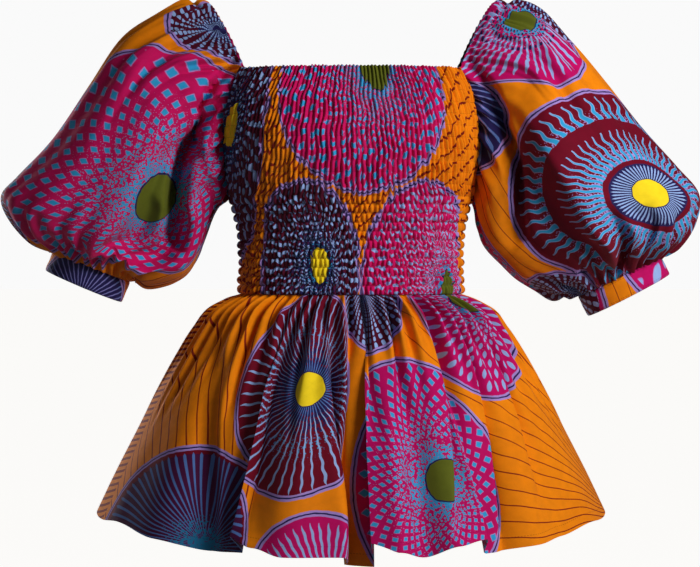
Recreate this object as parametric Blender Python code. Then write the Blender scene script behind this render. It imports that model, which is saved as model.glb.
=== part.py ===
"""Smocked peplum top with puff sleeves: eight sewn pieces of cotton wax print, as they hang when worn.

Units are metres. +X is the wearer's left, the front faces -Y and +Z is up. The origin lies midway between the
two places where the sleeves' elastic edges rest on the wearer's shoulders.
"""

import math

import bmesh
import bpy
import numpy as np

OBJECT_NAME = "smocked_peplum_top"

# Cloth and seams
CLOTH = 0.0015  # wall of one layer of cloth
SMOCKED_BASE = 0.0013  # wall between two bubbles of the smocking
BUBBLE = 0.0016  # how far a bubble of the smocking stands out
CUFF_WALL = 0.0026  # a cuff is a band folded double
SEAM_GAP = 0.0003

# Bodice
WAIST_Z = -0.307
UNDERARM_Z = -0.200
NECK_Z = -0.063
NECK_CORNER_Y = 0.053  # how far the neckline's corners lie before or behind the side seams
ARMHOLE_ROUND = 0.62  # below 1 the armhole is rounder at the underarm
PLEATS = 66  # shirring pleats across one panel
WAIST_ROWS = 11  # elastic rows from the waist seam to the underarm
BUST_ROWS = 11  # elastic rows from the underarm to the neckline
INNER_ROW_STEP = 2  # the plain inside has fewer rows below the underarm, and fewer columns all over
INNER_COLUMN_STEP = 3

BODICE_COLUMNS = ("z", "half_width", "front", "back", "square")
BODICE_LEVELS = (
    (-0.307, 0.1210, 0.0860, 0.0800, 2.35),
    (-0.270, 0.1195, 0.0850, 0.0800, 2.35),
    (-0.235, 0.1220, 0.0890, 0.0820, 2.35),
    (-0.200, 0.1310, 0.1000, 0.0860, 2.40),
    (-0.165, 0.1375, 0.1110, 0.0900, 2.45),
    (-0.130, 0.1400, 0.1140, 0.0930, 2.50),
    (-0.095, 0.1370, 0.1070, 0.0930, 2.50),
    (-0.063, 0.1320, 0.0930, 0.0880, 2.50),
)

# Sleeves, measured on the wearer's left: each section runs from its top point over the arm to its lower point
SHOULDER_X = 0.158
SHOULDER_Z = 0.012
SLEEVE_COLUMNS_ROUND = 36
FREE_EDGE_COLUMNS = 7  # columns from the shoulder rest to the neckline's corner

SLEEVE_COLUMNS = ("top_x", "top_z", "low_x", "low_z", "depth", "ruche")
LEFT_SLEEVE_SECTIONS = (
    (0.1860, 0.006, 0.1390, -0.2065, 0.071, 0.0030),
    (0.2165, -0.006, 0.1465, -0.2130, 0.078, 0.0026),
    (0.2520, -0.029, 0.1535, -0.2270, 0.088, 0.0016),
    (0.2877, -0.080, 0.1628, -0.2550, 0.098, 0.0006),
    (0.3270, -0.137, 0.1727, -0.2750, 0.103, 0.0004),
    (0.3660, -0.179, 0.1840, -0.2885, 0.104, 0.0008),
    (0.3835, -0.201, 0.2030, -0.2965, 0.098, 0.0016),
    (0.3720, -0.228, 0.2240, -0.2975, 0.083, 0.0028),
    (0.3500, -0.2465, 0.2350, -0.2880, 0.062, 0.0028),
)
RIGHT_SLEEVE_SECTIONS = (
    (0.2024, 0.002, 0.1370, -0.2140, 0.074, 0.0030),
    (0.2431, -0.033, 0.1390, -0.2340, 0.088, 0.0016),
    (0.2805, -0.076, 0.1462, -0.2550, 0.098, 0.0006),
    (0.3179, -0.123, 0.1640, -0.2750, 0.103, 0.0004),
    (0.3575, -0.168, 0.1830, -0.2915, 0.104, 0.0008),
    (0.3806, -0.198, 0.2035, -0.3014, 0.098, 0.0016),
    (0.3762, -0.230, 0.2215, -0.3090, 0.083, 0.0028),
    (0.3590, -0.251, 0.2345, -0.3055, 0.063, 0.0028),
)
FREE_EDGE_BOW = 0.005  # the free edge bows towards the neck
SLEEVE_SQUARE = 2.2
SHOULDER_RUCHE = 0.0022
CUFF_RUCHE = 0.0006

# Long soft folds. Each is steep on the side of its crest and rises slowly towards the other.
FOLD_COLUMNS = ("from_turn", "to_turn", "from_reach", "to_reach", "before", "after", "depth")
SLEEVE_FOLDS = (
    (105, 125, 0.06, 0.92, 13, 26, 0.026),
    (66, 84, 0.30, 0.98, 14, 18, 0.007),
    (36, 30, 0.05, 0.62, 14, 14, 0.006),
    (232, 244, 0.08, 0.90, 24, 14, 0.020),
    (285, 292, 0.25, 0.95, 18, 18, 0.008),
    (330, 326, 0.05, 0.60, 14, 14, 0.006),
)
FOLD_ENDS = 0.7  # below 1 a fold opens quickly at its two ends

# Cuffs. Each one's lower edge swings outwards by its tilt.
CUFF_HEIGHT = 0.024
CUFF_SQUARE = 2.1
CUFF_COLUMNS = ("x", "z", "tilt", "half_width", "half_depth")
LEFT_CUFF = (0.2895, -0.2878, math.radians(23), 0.045, 0.044)
RIGHT_CUFF = (0.3000, -0.2980, math.radians(27.4), 0.050, 0.041)

# Peplum
PEPLUM_COLUMNS_ACROSS = 60
FRONT_DROP = 0.120  # the hem hangs lower at the middle than at the side seams, by this share of the drop
PEPLUM_LEVEL_COLUMNS = ("drop", "half_width", "front", "back", "square", "gather", "fold")
PEPLUM_LEVELS = (
    (0.0000, 0.1200, 0.0850, 0.0790, 2.35, 0.0005, 0.00),
    (0.0050, 0.1290, 0.0930, 0.0870, 2.30, 0.0024, 0.02),
    (0.0150, 0.1470, 0.1060, 0.1010, 2.20, 0.0034, 0.06),
    (0.0350, 0.1660, 0.1200, 0.1150, 2.15, 0.0030, 0.16),
    (0.0680, 0.1900, 0.1360, 0.1320, 2.10, 0.0022, 0.34),
    (0.1100, 0.2150, 0.1540, 0.1500, 2.05, 0.0012, 0.58),
    (0.1530, 0.2370, 0.1700, 0.1660, 2.00, 0.0006, 0.80),
    (0.1960, 0.2590, 0.1840, 0.1810, 1.95, 0.0000, 0.94),
    (0.2380, 0.2790, 0.1960, 0.1940, 1.90, 0.0000, 1.00),
)
HEM_FOLD_COLUMNS = ("x", "height", "hang")
FRONT_HEM_FOLDS = (
    (-0.279, 0.000, 0.000),
    (-0.245, 0.004, -0.009),
    (-0.200, 0.012, -0.003),
    (-0.152, -0.002, 0.004),
    (-0.128, -0.016, 0.004),
    (-0.114, 0.010, -0.016),
    (-0.098, 0.018, -0.007),
    (-0.066, 0.026, 0.000),
    (-0.016, 0.012, 0.000),
    (-0.002, -0.022, 0.012),
    (0.018, -0.024, 0.014),
    (0.028, 0.008, -0.014),
    (0.048, 0.020, -0.005),
    (0.076, 0.002, 0.003),
    (0.106, 0.020, -0.008),
    (0.130, 0.012, -0.012),
    (0.148, -0.006, 0.006),
    (0.190, 0.010, 0.002),
    (0.224, 0.000, 0.000),
    (0.252, 0.004, -0.006),
    (0.279, 0.000, 0.000),
)
BACK_HEM_FOLDS = (
    (-0.279, 0.000, 0.000),
    (-0.235, 0.010, -0.003),
    (-0.185, -0.010, 0.003),
    (-0.140, 0.018, -0.004),
    (-0.098, -0.016, 0.005),
    (-0.050, 0.022, -0.005),
    (-0.012, -0.018, 0.006),
    (0.034, 0.020, -0.004),
    (0.078, -0.018, 0.004),
    (0.122, 0.016, -0.003),
    (0.166, -0.012, 0.004),
    (0.206, 0.014, -0.004),
    (0.246, -0.004, 0.002),
    (0.279, 0.000, 0.000),
)
HANG_START = 3  # the higher, the nearer to the hem the folds' uneven lengths show

ARC_SAMPLES = 720
SHARP_EDGE = math.radians(50)
MATERIALS = {
    "bodice": ("#8e1440", 0.85),
    "sleeve": ("#a3104f", 0.80),
    "cuff": ("#c25e10", 0.80),
    "peplum": ("#d07a1c", 0.80),
}


def linear(hex_colour):
    """Linear RGBA of an sRGB hex colour."""
    channels = [int(hex_colour[i : i + 2], 16) / 255 for i in (1, 3, 5)]
    return [c / 12.92 if c <= 0.04045 else ((c + 0.055) / 1.055) ** 2.4 for c in channels] + [1.0]


def column(table, names, name):
    return np.array([row[names.index(name)] for row in table])


def named_rows(table, names):
    return [dict(zip(names, row)) for row in table]


def eased(where, places, values):
    """A smooth curve through the table's values: cubic, with slopes taken from the neighbours."""
    places = np.asarray(places, float)
    values = np.asarray(values, float)
    slopes = np.gradient(values, places)
    where = np.clip(where, places[0], places[-1])
    i = np.clip(np.searchsorted(places, where, side="right") - 1, 0, len(places) - 2)
    span = places[i + 1] - places[i]
    t = (where - places[i]) / span
    rise = (3 - 2 * t) * t * t
    return (
        values[i] * (1 - rise)
        + values[i + 1] * rise
        + slopes[i] * span * t * (1 - t) ** 2
        - slopes[i + 1] * span * t * t * (1 - t)
    )


def unit(vectors):
    return vectors / np.maximum(np.linalg.norm(vectors, axis=-1, keepdims=True), 1e-12)


def half_outline(half_width, depth, square, end_y, count):
    """Plan points of half a rounded section, evenly spaced from its -X end round to its +X end.

    The depth is signed, and the ends stop at end_y before or behind the middle line.
    """
    turn = np.linspace(0, math.pi, ARC_SAMPLES)
    x = -half_width * np.sign(np.cos(turn)) * np.abs(np.cos(turn)) ** (2 / square)
    y = depth * np.abs(np.sin(turn)) ** (2 / square)
    kept = np.abs(y) >= abs(end_y) - 1e-9
    x, y = x[kept], y[kept]
    along = np.concatenate([[0], np.cumsum(np.hypot(np.diff(x), np.diff(y)))])
    even = np.linspace(0, along[-1], count)
    return np.interp(even, along, x), np.interp(even, along, y)


def grid_normals(points, wrap=False):
    """Unit normals of a grid of rows and columns, from the differences of its neighbours."""
    across = np.gradient(points, axis=1)
    if wrap:
        across = (np.roll(points, -1, axis=1) - np.roll(points, 1, axis=1)) / 2
    down = np.gradient(points, axis=0)
    return unit(np.cross(across, down))


def outwards(normals, points, centre):
    """The normals turned so that most of them point away from a line or a point inside."""
    facing = np.sum(normals * (points - centre)) > 0
    return normals if facing else -normals


# ---------------------------------------------------------------- walls


def grid_faces(index, wrap=False, high=None):
    """Triangles of a grid of vertex numbers. Where heights are given, each square is split between its low corners."""
    faces = []
    rows, columns = index.shape
    for r in range(rows - 1):
        for c in range(columns if wrap else columns - 1):
            d = (c + 1) % columns
            a, b, e, f = index[r, c], index[r, d], index[r + 1, d], index[r + 1, c]
            cut = high is not None and high[r, c] + high[r + 1, d] > high[r, d] + high[r + 1, c]
            faces += [(a, b, f), (b, e, f)] if cut else [(a, b, e), (a, e, f)]
    return faces


def strip_faces(first, first_at, second, second_at):
    """Triangles that join two chains of vertex numbers along their shared run, whatever their counts."""
    faces = []
    i = j = 0
    while i < len(first) - 1 or j < len(second) - 1:
        step_first = j == len(second) - 1
        if i < len(first) - 1 and j < len(second) - 1:
            step_first = first_at[i + 1] <= second_at[j + 1]
        if step_first:
            faces.append((first[i], first[i + 1], second[j]))
            i += 1
        else:
            faces.append((first[i], second[j + 1], second[j]))
            j += 1
    return faces


def wall_object(name, outer, inner, rows, columns, wrap, high, collection, material):
    """A closed wall between an outer grid and an inner grid, which may be coarser.

    The inner grid's rows and columns are those of the outer grid whose numbers are given.
    """
    mesh_points = np.concatenate([outer.reshape(-1, 3), inner.reshape(-1, 3)])
    out = np.arange(outer.shape[0] * outer.shape[1]).reshape(outer.shape[:2])
    inn = out.size + np.arange(inner.shape[0] * inner.shape[1]).reshape(inner.shape[:2])
    faces = grid_faces(out, wrap, high)
    faces += [face[::-1] for face in grid_faces(inn, wrap)]
    across = np.arange(outer.shape[1])
    if wrap:
        out = np.concatenate([out, out[:, :1]], axis=1)
        inn = np.concatenate([inn, inn[:, :1]], axis=1)
        across = np.arange(outer.shape[1] + 1)
        columns = np.append(columns, outer.shape[1])
    down = np.arange(outer.shape[0])
    faces += [face[::-1] for face in strip_faces(out[0], across, inn[0], columns)]
    faces += strip_faces(out[-1], across, inn[-1], columns)
    if not wrap:
        faces += strip_faces(out[:, 0], down, inn[:, 0], rows)
        faces += [face[::-1] for face in strip_faces(out[:, -1], down, inn[:, -1], rows)]
    mesh = bpy.data.meshes.new(name)
    mesh.from_pydata([tuple(p) for p in mesh_points], [], [tuple(int(v) for v in f) for f in faces])
    shaped = bmesh.new()
    shaped.from_mesh(mesh)
    bmesh.ops.recalc_face_normals(shaped, faces=shaped.faces)
    shaped.to_mesh(mesh)
    shaped.free()
    mesh.shade_smooth()
    mesh.set_sharp_from_angle(angle=SHARP_EDGE)
    mesh.materials.append(material)
    piece = bpy.data.objects.new(name, mesh)
    collection.objects.link(piece)
    return piece


def all_of(grid):
    return np.arange(grid.shape[0]), np.arange(grid.shape[1])


# ---------------------------------------------------------------- bodice


def armhole_y(z):
    """How far the armhole's edge lies before or behind the side seam at a height."""
    share = max((z - UNDERARM_Z) / (NECK_Z - UNDERARM_Z), 0.0)
    return NECK_CORNER_Y * share**ARMHOLE_ROUND


def bodice_heights():
    waist = np.linspace(WAIST_Z, UNDERARM_Z, WAIST_ROWS + 1)
    bust = np.linspace(UNDERARM_Z, NECK_Z, BUST_ROWS + 1)
    return np.concatenate([waist, bust[1:]])


def bodice_form(side):
    """The bodice panel's grid between two bubbles, and its normals. The front is side -1 and the back is side 1."""
    depth_name = "front" if side < 0 else "back"
    levels = column(BODICE_LEVELS, BODICE_COLUMNS, "z")
    rings = []
    for z in bodice_heights():
        width = eased(z, levels, column(BODICE_LEVELS, BODICE_COLUMNS, "half_width"))
        depth = eased(z, levels, column(BODICE_LEVELS, BODICE_COLUMNS, depth_name))
        square = eased(z, levels, column(BODICE_LEVELS, BODICE_COLUMNS, "square"))
        x, y = half_outline(width, side * depth, square, armhole_y(z), PLEATS + 1)
        rings.append(np.stack([x, y, np.full_like(x, z)], axis=1))
    points = np.array(rings)
    centre = points * (0, 0, 1)
    normals = outwards(grid_normals(points), points, centre)
    seam = points[:, 0, 2] <= UNDERARM_Z + 1e-6
    for end in (0, -1):
        normals[seam, end, 1] = 0
        points[seam, end, 1] = side * SEAM_GAP / 2
    return points, unit(normals)


def smocking(rows, columns):
    """Bubbles where pleats cross the elastic rows, staggered from row to row, and flat along the seams."""
    r, c = np.meshgrid(np.arange(rows), np.arange(columns), indexing="ij")
    high = ((r + c) % 2).astype(float)
    high[[0, -1], :] = 0
    high[:, [0, -1]] = 0
    return high


def bodice_panel(side, name, collection, material):
    points, normals = bodice_form(side)
    high = smocking(*points.shape[:2])
    outer = points + normals * high[..., None] * BUBBLE
    rows = [r for r in range(points.shape[0]) if r % INNER_ROW_STEP == 0 or r >= WAIST_ROWS]
    columns = np.arange(0, points.shape[1], INNER_COLUMN_STEP)
    inner = (points - normals * SMOCKED_BASE)[np.ix_(rows, columns)]
    return wall_object(name, outer, inner, np.array(rows), columns, False, high, collection, material)


# ---------------------------------------------------------------- sleeves


def mirrored(points, side):
    return points * (side, 1, 1)


def armhole_edge(side_y):
    """The bodice's armhole points from the underarm up to the neckline's corner on +X, and their normals."""
    points, normals = bodice_form(side_y)
    top = points[:, -1, 2] >= UNDERARM_Z - 1e-6
    return points[top, -1], normals[top, -1]


def sleeve_start():
    """The sleeve's first ring: over the shoulder on its free edge, and down the armhole against the bodice."""
    front, front_normals = armhole_edge(-1)
    back, back_normals = armhole_edge(1)
    ring, normals, seam = [], [], []
    for share in np.linspace(0, 1, FREE_EDGE_COLUMNS, endpoint=False):
        bend = math.cos(share * math.pi / 2)
        corner = front[-1]
        ring.append(
            (
                corner[0] + (SHOULDER_X - corner[0]) * bend - FREE_EDGE_BOW * math.sin(math.pi * share),
                corner[1] * math.sin(share * math.pi / 2),
                corner[2] + (SHOULDER_Z - corner[2]) * bend,
            )
        )
    free = np.array(ring)
    front_down, back_up = front[::-1], back[1:]
    ring = np.concatenate([free, front_down, back_up, (free * (1, -1, 1))[:0:-1]])
    hole = np.concatenate([front_down, back_up])
    hole[len(front_down) - 1, 1] = 0
    facing = np.concatenate([front_normals[::-1], back_normals[1:]])
    along = unit(np.gradient(hole, axis=0))
    away = unit(np.cross(along, facing))
    away *= np.sign(away[:, 2:3] + away[:, :1])
    start = FREE_EDGE_COLUMNS
    ring[start : start + len(hole)] = hole + away * SEAM_GAP
    normals = np.full_like(ring, np.nan)
    normals[start : start + len(hole)] = facing
    return ring, normals


def loop_section(top, low, depth, square, count):
    """A closed section from its top point over the front to its low point and back over the rear, evenly spaced."""
    turn = np.linspace(0, 2 * math.pi, 2 * ARC_SAMPLES + 1)
    middle, half = (top + low) / 2, (top - low) / 2
    reach = np.sign(np.cos(turn)) * np.abs(np.cos(turn)) ** (2 / square)
    bulge = np.abs(np.sin(turn)) ** (2 / square) * np.where(turn < math.pi, -depth, depth)
    path = np.stack([middle[0] + half[0] * reach, bulge, middle[1] + half[1] * reach], axis=1)
    along = np.concatenate([[0], np.cumsum(np.linalg.norm(np.diff(path, axis=0), axis=1))])
    half_way = along[ARC_SAMPLES]
    front_run = np.linspace(0, half_way, count // 2 + 1)
    back_run = np.linspace(half_way, along[-1], count // 2 + 1)[1:-1]
    even = np.concatenate([front_run, back_run])
    return np.stack([np.interp(even, along, path[:, k]) for k in range(3)], axis=1)


def fold_depth(turn, reach, folds):
    """How far the long soft folds draw the cloth in, at a turn round the sleeve in degrees and a reach along it."""
    drawn = np.zeros_like(turn)
    for fold in named_rows(folds, FOLD_COLUMNS):
        share = (reach - fold["from_reach"]) / (fold["to_reach"] - fold["from_reach"])
        if not 0 < share < 1:
            continue
        away = turn - (fold["from_turn"] + (fold["to_turn"] - fold["from_turn"]) * share)
        half_width = np.where(away < 0, fold["before"], fold["after"])
        depth = fold["depth"] * math.sin(math.pi * share) ** FOLD_ENDS
        drawn += depth * np.exp(-((away / half_width) ** 2))
    return drawn


def cuff_frame(size):
    """The cuff's middle, and its directions along the arm and towards its outer side, in the XZ plane."""
    along = np.array([math.sin(size["tilt"]), -math.cos(size["tilt"])])
    out = np.array([math.cos(size["tilt"]), math.sin(size["tilt"])])
    return np.array([size["x"], size["z"]]), along, out


def across_cuff(normals, size):
    """The normals turned square to the cuff's axis, so that the edge they widen stays flat."""
    _, along, _ = cuff_frame(size)
    axis = np.array([along[0], 0, along[1]])
    return unit(normals - (normals @ axis)[:, None] * axis)


def cuff_ring(size, step, count):
    middle, along, out = cuff_frame(size)
    middle = middle + along * step
    top, low = middle + out * size["half_width"], middle - out * size["half_width"]
    return loop_section(top, low, size["half_depth"], CUFF_SQUARE, count)


def sleeve(side, sections, cuff_size, name, collection, material):
    """One sleeve as a wall from the shoulder and armhole to the cuff."""
    count = SLEEVE_COLUMNS_ROUND
    turn = np.arange(count) * 360 / count
    wave = np.where(np.arange(count) % 2 == 0, 1.0, -1.0)
    start, start_normals = sleeve_start()
    rings = [start]
    ruches = [SHOULDER_RUCHE]
    for section in named_rows(sections, SLEEVE_COLUMNS):
        top = np.array([section["top_x"], section["top_z"]])
        low = np.array([section["low_x"], section["low_z"]])
        rings.append(loop_section(top, low, section["depth"], SLEEVE_SQUARE, count))
        ruches.append(section["ruche"])
    rings.append(cuff_ring(cuff_size, -CUFF_HEIGHT / 2 - SEAM_GAP, count))
    ruches.append(CUFF_RUCHE)
    points = np.array(rings)
    centre = points.mean(axis=1, keepdims=True)
    normals = outwards(grid_normals(points, wrap=True), points, centre)
    normals[-1] = across_cuff(normals[-1], cuff_size)
    for number in range(len(points)):
        reach = number / (len(points) - 1)
        points[number] -= normals[number] * fold_depth(turn, reach, SLEEVE_FOLDS)[:, None]
    hole = ~np.isnan(start_normals[:, 0])
    for number, ruche in enumerate(ruches):
        height = wave * ruche
        if number == 0:
            height = np.where(hole, 0.0, height)
        points[number] += normals[number] * height[:, None]
    normals = outwards(grid_normals(points, wrap=True), points, centre)
    normals[0, hole] = start_normals[hole]
    normals[-1] = across_cuff(normals[-1], cuff_size)
    inner = points - normals * CLOTH
    rows, columns = all_of(points)
    return wall_object(
        name, mirrored(points, side), mirrored(inner, side), rows, columns, True, None, collection, material
    )


def cuff(side, size, name, collection, material):
    """A straight band folded double, open at both ends."""
    count = SLEEVE_COLUMNS_ROUND
    rings = np.array([cuff_ring(size, step, count) for step in (-CUFF_HEIGHT / 2, 0, CUFF_HEIGHT / 2)])
    centre = rings.mean(axis=1, keepdims=True)
    spread = unit(rings - centre)
    outer = rings + spread * (CUFF_WALL - CLOTH) / 2
    inner = rings - spread * (CUFF_WALL + CLOTH) / 2
    rows, columns = all_of(rings)
    return wall_object(
        name, mirrored(outer, side), mirrored(inner, side), rows, columns, True, None, collection, material
    )


# ---------------------------------------------------------------- peplum


def along_hem(x_at_hem, folds, name):
    """A column of the hem's folds at each place, eased from one crest or trough to the next."""
    places = column(folds, HEM_FOLD_COLUMNS, "x")
    heights = column(folds, HEM_FOLD_COLUMNS, name)
    i = np.clip(np.searchsorted(places, x_at_hem, side="right") - 1, 0, len(places) - 2)
    share = np.clip((x_at_hem - places[i]) / (places[i + 1] - places[i]), 0, 1)
    return heights[i] + (heights[i + 1] - heights[i]) * (1 - np.cos(math.pi * share)) / 2


def peplum_panel(side, name, folds, collection, material):
    """A skirt panel: tight gathers under the waist seam that run into long folds at the hem."""
    count = PEPLUM_COLUMNS_ACROSS + 1
    depth_name = "front" if side < 0 else "back"
    drops, widths, depths, squares, gather, fold = (
        column(PEPLUM_LEVELS, PEPLUM_LEVEL_COLUMNS, name)
        for name in ("drop", "half_width", depth_name, "square", "gather", "fold")
    )
    rings = []
    for drop, width, depth, square in zip(drops, widths, depths, squares):
        x, y = half_outline(width, side * depth, square, 0, count)
        z = WAIST_Z - SEAM_GAP - drop * (1 + FRONT_DROP * np.abs(y) / depth)
        rings.append(np.stack([x, y, z], axis=1))
    base = np.array(rings)
    centre = base * (0, 0, 1)
    plan = unit(outwards(grid_normals(base), base, centre) * (1, 1, 0))
    plan[:, [0, -1], 1] = 0
    plan = unit(plan)
    hem = along_hem(base[-1, :, 0], folds, "height")
    hang = along_hem(base[-1, :, 0], folds, "hang")
    wave = np.where(np.arange(count) % 2 == 0, -1.0, 1.0)
    wave[[0, -1]] = 0
    height = gather[:, None] * wave + fold[:, None] * hem
    points = base + plan * height[..., None]
    points[..., 2] -= (drops[:, None] / drops[-1]) ** HANG_START * hang
    normals = outwards(grid_normals(points), points, centre)
    normals[0] = unit(normals[0] * (1, 1, 0))
    normals[:, [0, -1], 1] = 0
    normals = unit(normals)
    points[:, [0, -1], 1] = side * SEAM_GAP / 2
    inner = points - normals * CLOTH
    inner[:, [0, -1], 1] = side * SEAM_GAP / 2
    rows, columns = all_of(points)
    return wall_object(name, points, inner, rows, columns, False, None, collection, material)


# ---------------------------------------------------------------- assembly


def clear_scene():
    for thing in list(bpy.data.objects):
        bpy.data.objects.remove(thing, do_unlink=True)


def cloth_material(name):
    colour, roughness = MATERIALS[name]
    material = bpy.data.materials.new(name + "_wax_print_cotton")
    material.use_nodes = True
    shader = material.node_tree.nodes["Principled BSDF"]
    shader.inputs["Base Color"].default_value = linear(colour)
    shader.inputs["Roughness"].default_value = roughness
    shader.inputs["Metallic"].default_value = 0.0
    return material


def main():
    clear_scene()
    top = bpy.data.collections.new(OBJECT_NAME)
    bpy.context.scene.collection.children.link(top)
    bodice_panel(-1, "bodice_front", top, cloth_material("bodice"))
    bodice_panel(1, "bodice_back", top, cloth_material("bodice"))
    for side, sections, cuff_row, which in (
        (-1, LEFT_SLEEVE_SECTIONS, LEFT_CUFF, "left"),
        (1, RIGHT_SLEEVE_SECTIONS, RIGHT_CUFF, "right"),
    ):
        size = dict(zip(CUFF_COLUMNS, cuff_row))
        sleeve(side, sections, size, "sleeve_" + which, top, cloth_material("sleeve"))
        cuff(side, size, "cuff_" + which, top, cloth_material("cuff"))
    peplum_panel(-1, "peplum_front", FRONT_HEM_FOLDS, top, cloth_material("peplum"))
    peplum_panel(1, "peplum_back", BACK_HEM_FOLDS, top, cloth_material("peplum"))


main()
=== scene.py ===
"""Sews a smocked peplum top with puff sleeves in African wax-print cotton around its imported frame.

Units are metres. +X is the wearer's left, the front faces -Y and +Z is up.
"""

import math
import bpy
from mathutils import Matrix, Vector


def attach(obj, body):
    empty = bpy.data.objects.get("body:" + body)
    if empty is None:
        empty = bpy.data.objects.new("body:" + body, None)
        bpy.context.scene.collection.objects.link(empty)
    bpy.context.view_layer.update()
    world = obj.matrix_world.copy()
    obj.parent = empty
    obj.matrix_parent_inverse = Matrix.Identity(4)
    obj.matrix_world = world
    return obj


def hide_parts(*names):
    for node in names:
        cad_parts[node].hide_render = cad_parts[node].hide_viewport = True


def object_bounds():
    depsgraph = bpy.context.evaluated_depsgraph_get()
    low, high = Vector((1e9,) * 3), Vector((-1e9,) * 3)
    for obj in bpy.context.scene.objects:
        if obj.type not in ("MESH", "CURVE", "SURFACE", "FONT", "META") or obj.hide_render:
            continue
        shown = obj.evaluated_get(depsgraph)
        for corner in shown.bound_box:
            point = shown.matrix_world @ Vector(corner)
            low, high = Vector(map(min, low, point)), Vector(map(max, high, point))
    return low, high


bl_info = {
    "name": "Smocked peplum top",
    "version": (1, 0, 0),
    "blender": (4, 5, 0),
    "location": "3D View > Sidebar > Peplum top",
    "description": "Sews a smocked peplum top with puff sleeves in wax-print cotton around its packed frame",
    "category": "Add Mesh",
}

from functools import partial

import bpy
import numpy as np
from bpy.props import FloatProperty, FloatVectorProperty, PointerProperty
from mathutils import Euler, Vector

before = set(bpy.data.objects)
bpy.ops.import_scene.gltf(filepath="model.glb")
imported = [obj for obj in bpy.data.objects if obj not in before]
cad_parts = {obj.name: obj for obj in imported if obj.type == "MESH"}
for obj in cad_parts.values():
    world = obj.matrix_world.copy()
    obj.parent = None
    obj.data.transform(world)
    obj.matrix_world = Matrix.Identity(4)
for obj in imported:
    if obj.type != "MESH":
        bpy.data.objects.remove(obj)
CAD_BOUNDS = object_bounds()
TOP_MIDDLE = (Vector(CAD_BOUNDS[0]) + Vector(CAD_BOUNDS[1])) / 2

# Cloth and seams
SEAM_GAP = 0.0003
CUFF_WALL = 0.0026  # a cuff is a band folded double
CLOTH_WALL = 0.0015  # wall of the solid that a single layer of cloth stands in
STITCH_INSET = 0.002  # from a seam to the stitches beside it
SMOOTH_ANGLE = math.radians(70)
ROUNDING = 1e-6
TINY = 1e-12
ARC_SAMPLES = 4000
INNER_STEP = 2  # the inside is drawn with every second row and column of the outside

# Unevenness: how strong it is, how often it changes along the piece, and how many columns wide a patch is
PLEAT_LEAN = (0.22, 1.0, 3.0)
PLEAT_HEIGHT = (0.50, 0.6, 0.8)
PLEAT_JUMBLE = (0.55, 0.8, 0.5)
PLEAT_SLIP = (0.0034, 0.5, 0.5)
SLEEVE_STRENGTH = (0.35, 1.0, 0.5)
SLEEVE_DRIFT = (0.35, 0.6, 1.6)
CUFF_WAVER = (0.60, 2.0, 2.0)
GATHER_STRENGTH = (0.40, 0.0, 1.0)
GATHER_LENGTH = (0.45, 0.0, 2.0)
GATHER_DRIFT = (0.30, 20.0, 4.0)
HEM_PUCKER = (0.35, 0.0, 0.4)

# Bodice
WAIST_Z = -0.307
UNDERARM_Z = -0.200
NECK_Z = -0.063
NECK_CORNER_Y = 0.053  # how far the neckline's corners lie before or behind the side seams
ARMHOLE_ROUND = 0.62  # below 1 the armhole is rounder at the underarm
PLEATS = 66  # shirring pleats across one panel
WAIST_ROWS = 11  # elastic rows from the waist seam to the underarm
BUST_ROWS = 11  # elastic rows from the underarm to the neckline
FINE_PLEAT = 8  # columns of the fine surface in a pleat
FINE_ROW = 6  # rows of the fine surface between two elastic rows
PLEAT_SWAY = 0.16  # how far the pleats over the bust sway from row to row, in pleats
PLEAT_SWAY_TURN = 1.9  # from one row to the next, in radians
PLEAT_CHANGE = 0.44  # share of a row in which its pleats turn into the next row's
PLEAT_ROUND = 0.75  # below 1 a pleat is rounder
PUFF_ROUND = 0.6  # below 1 a pleat puffs up sooner beside an elastic row
PLEAT_ENDS = 0.7  # how far from a side seam the pleats rise, in pleats
HELD_PUFF = (0.42, 0.82)  # what is left of a pleat's height on an elastic row, at the waist and over the bust
NECK_PUFF = 0.95  # what is left of it above the last elastic row
GROOVES = (0.15, 0.05)  # how far the elastic rows sink, to a pleat's height, at the waist and over the bust
HIDDEN_CLOTH = 0.92  # share of the cloth's width that lies hidden between the pleats

BODICE_COLUMNS = ("z", "half_width", "front", "back", "square")
BODICE_LEVELS = (
    (-0.307, 0.1210, 0.0860, 0.0800, 2.35),
    (-0.270, 0.1195, 0.0850, 0.0800, 2.35),
    (-0.235, 0.1220, 0.0890, 0.0820, 2.35),
    (-0.200, 0.1310, 0.1000, 0.0860, 2.40),
    (-0.165, 0.1375, 0.1110, 0.0900, 2.45),
    (-0.130, 0.1400, 0.1140, 0.0930, 2.50),
    (-0.095, 0.1370, 0.1070, 0.0930, 2.50),
    (-0.063, 0.1320, 0.0930, 0.0880, 2.50),
)

# Sleeves, measured on the wearer's left: each section runs from its top point over the arm to its lower point
SHOULDER_X = 0.158
SHOULDER_Z = 0.012
FREE_EDGE_BOW = 0.005  # the free edge bows towards the neck
SLEEVE_SQUARE = 2.2
SLEEVE_CLOTH_WIDTH = 0.68
SECTION_COLUMNS = 36  # columns round a section, in which the folds' turns and the gathers are counted
FREE_EDGE_COLUMNS = 7  # columns from the shoulder rest to the neckline's corner
FINE_FREE_EDGE = 16  # columns of the fine surface in one of those columns
FINE_ARMHOLE = 6
SLEEVE_ROWS = (22, 66, 14)  # rows of the fine surface to the first section, on to the last, and into the cuff

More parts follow.
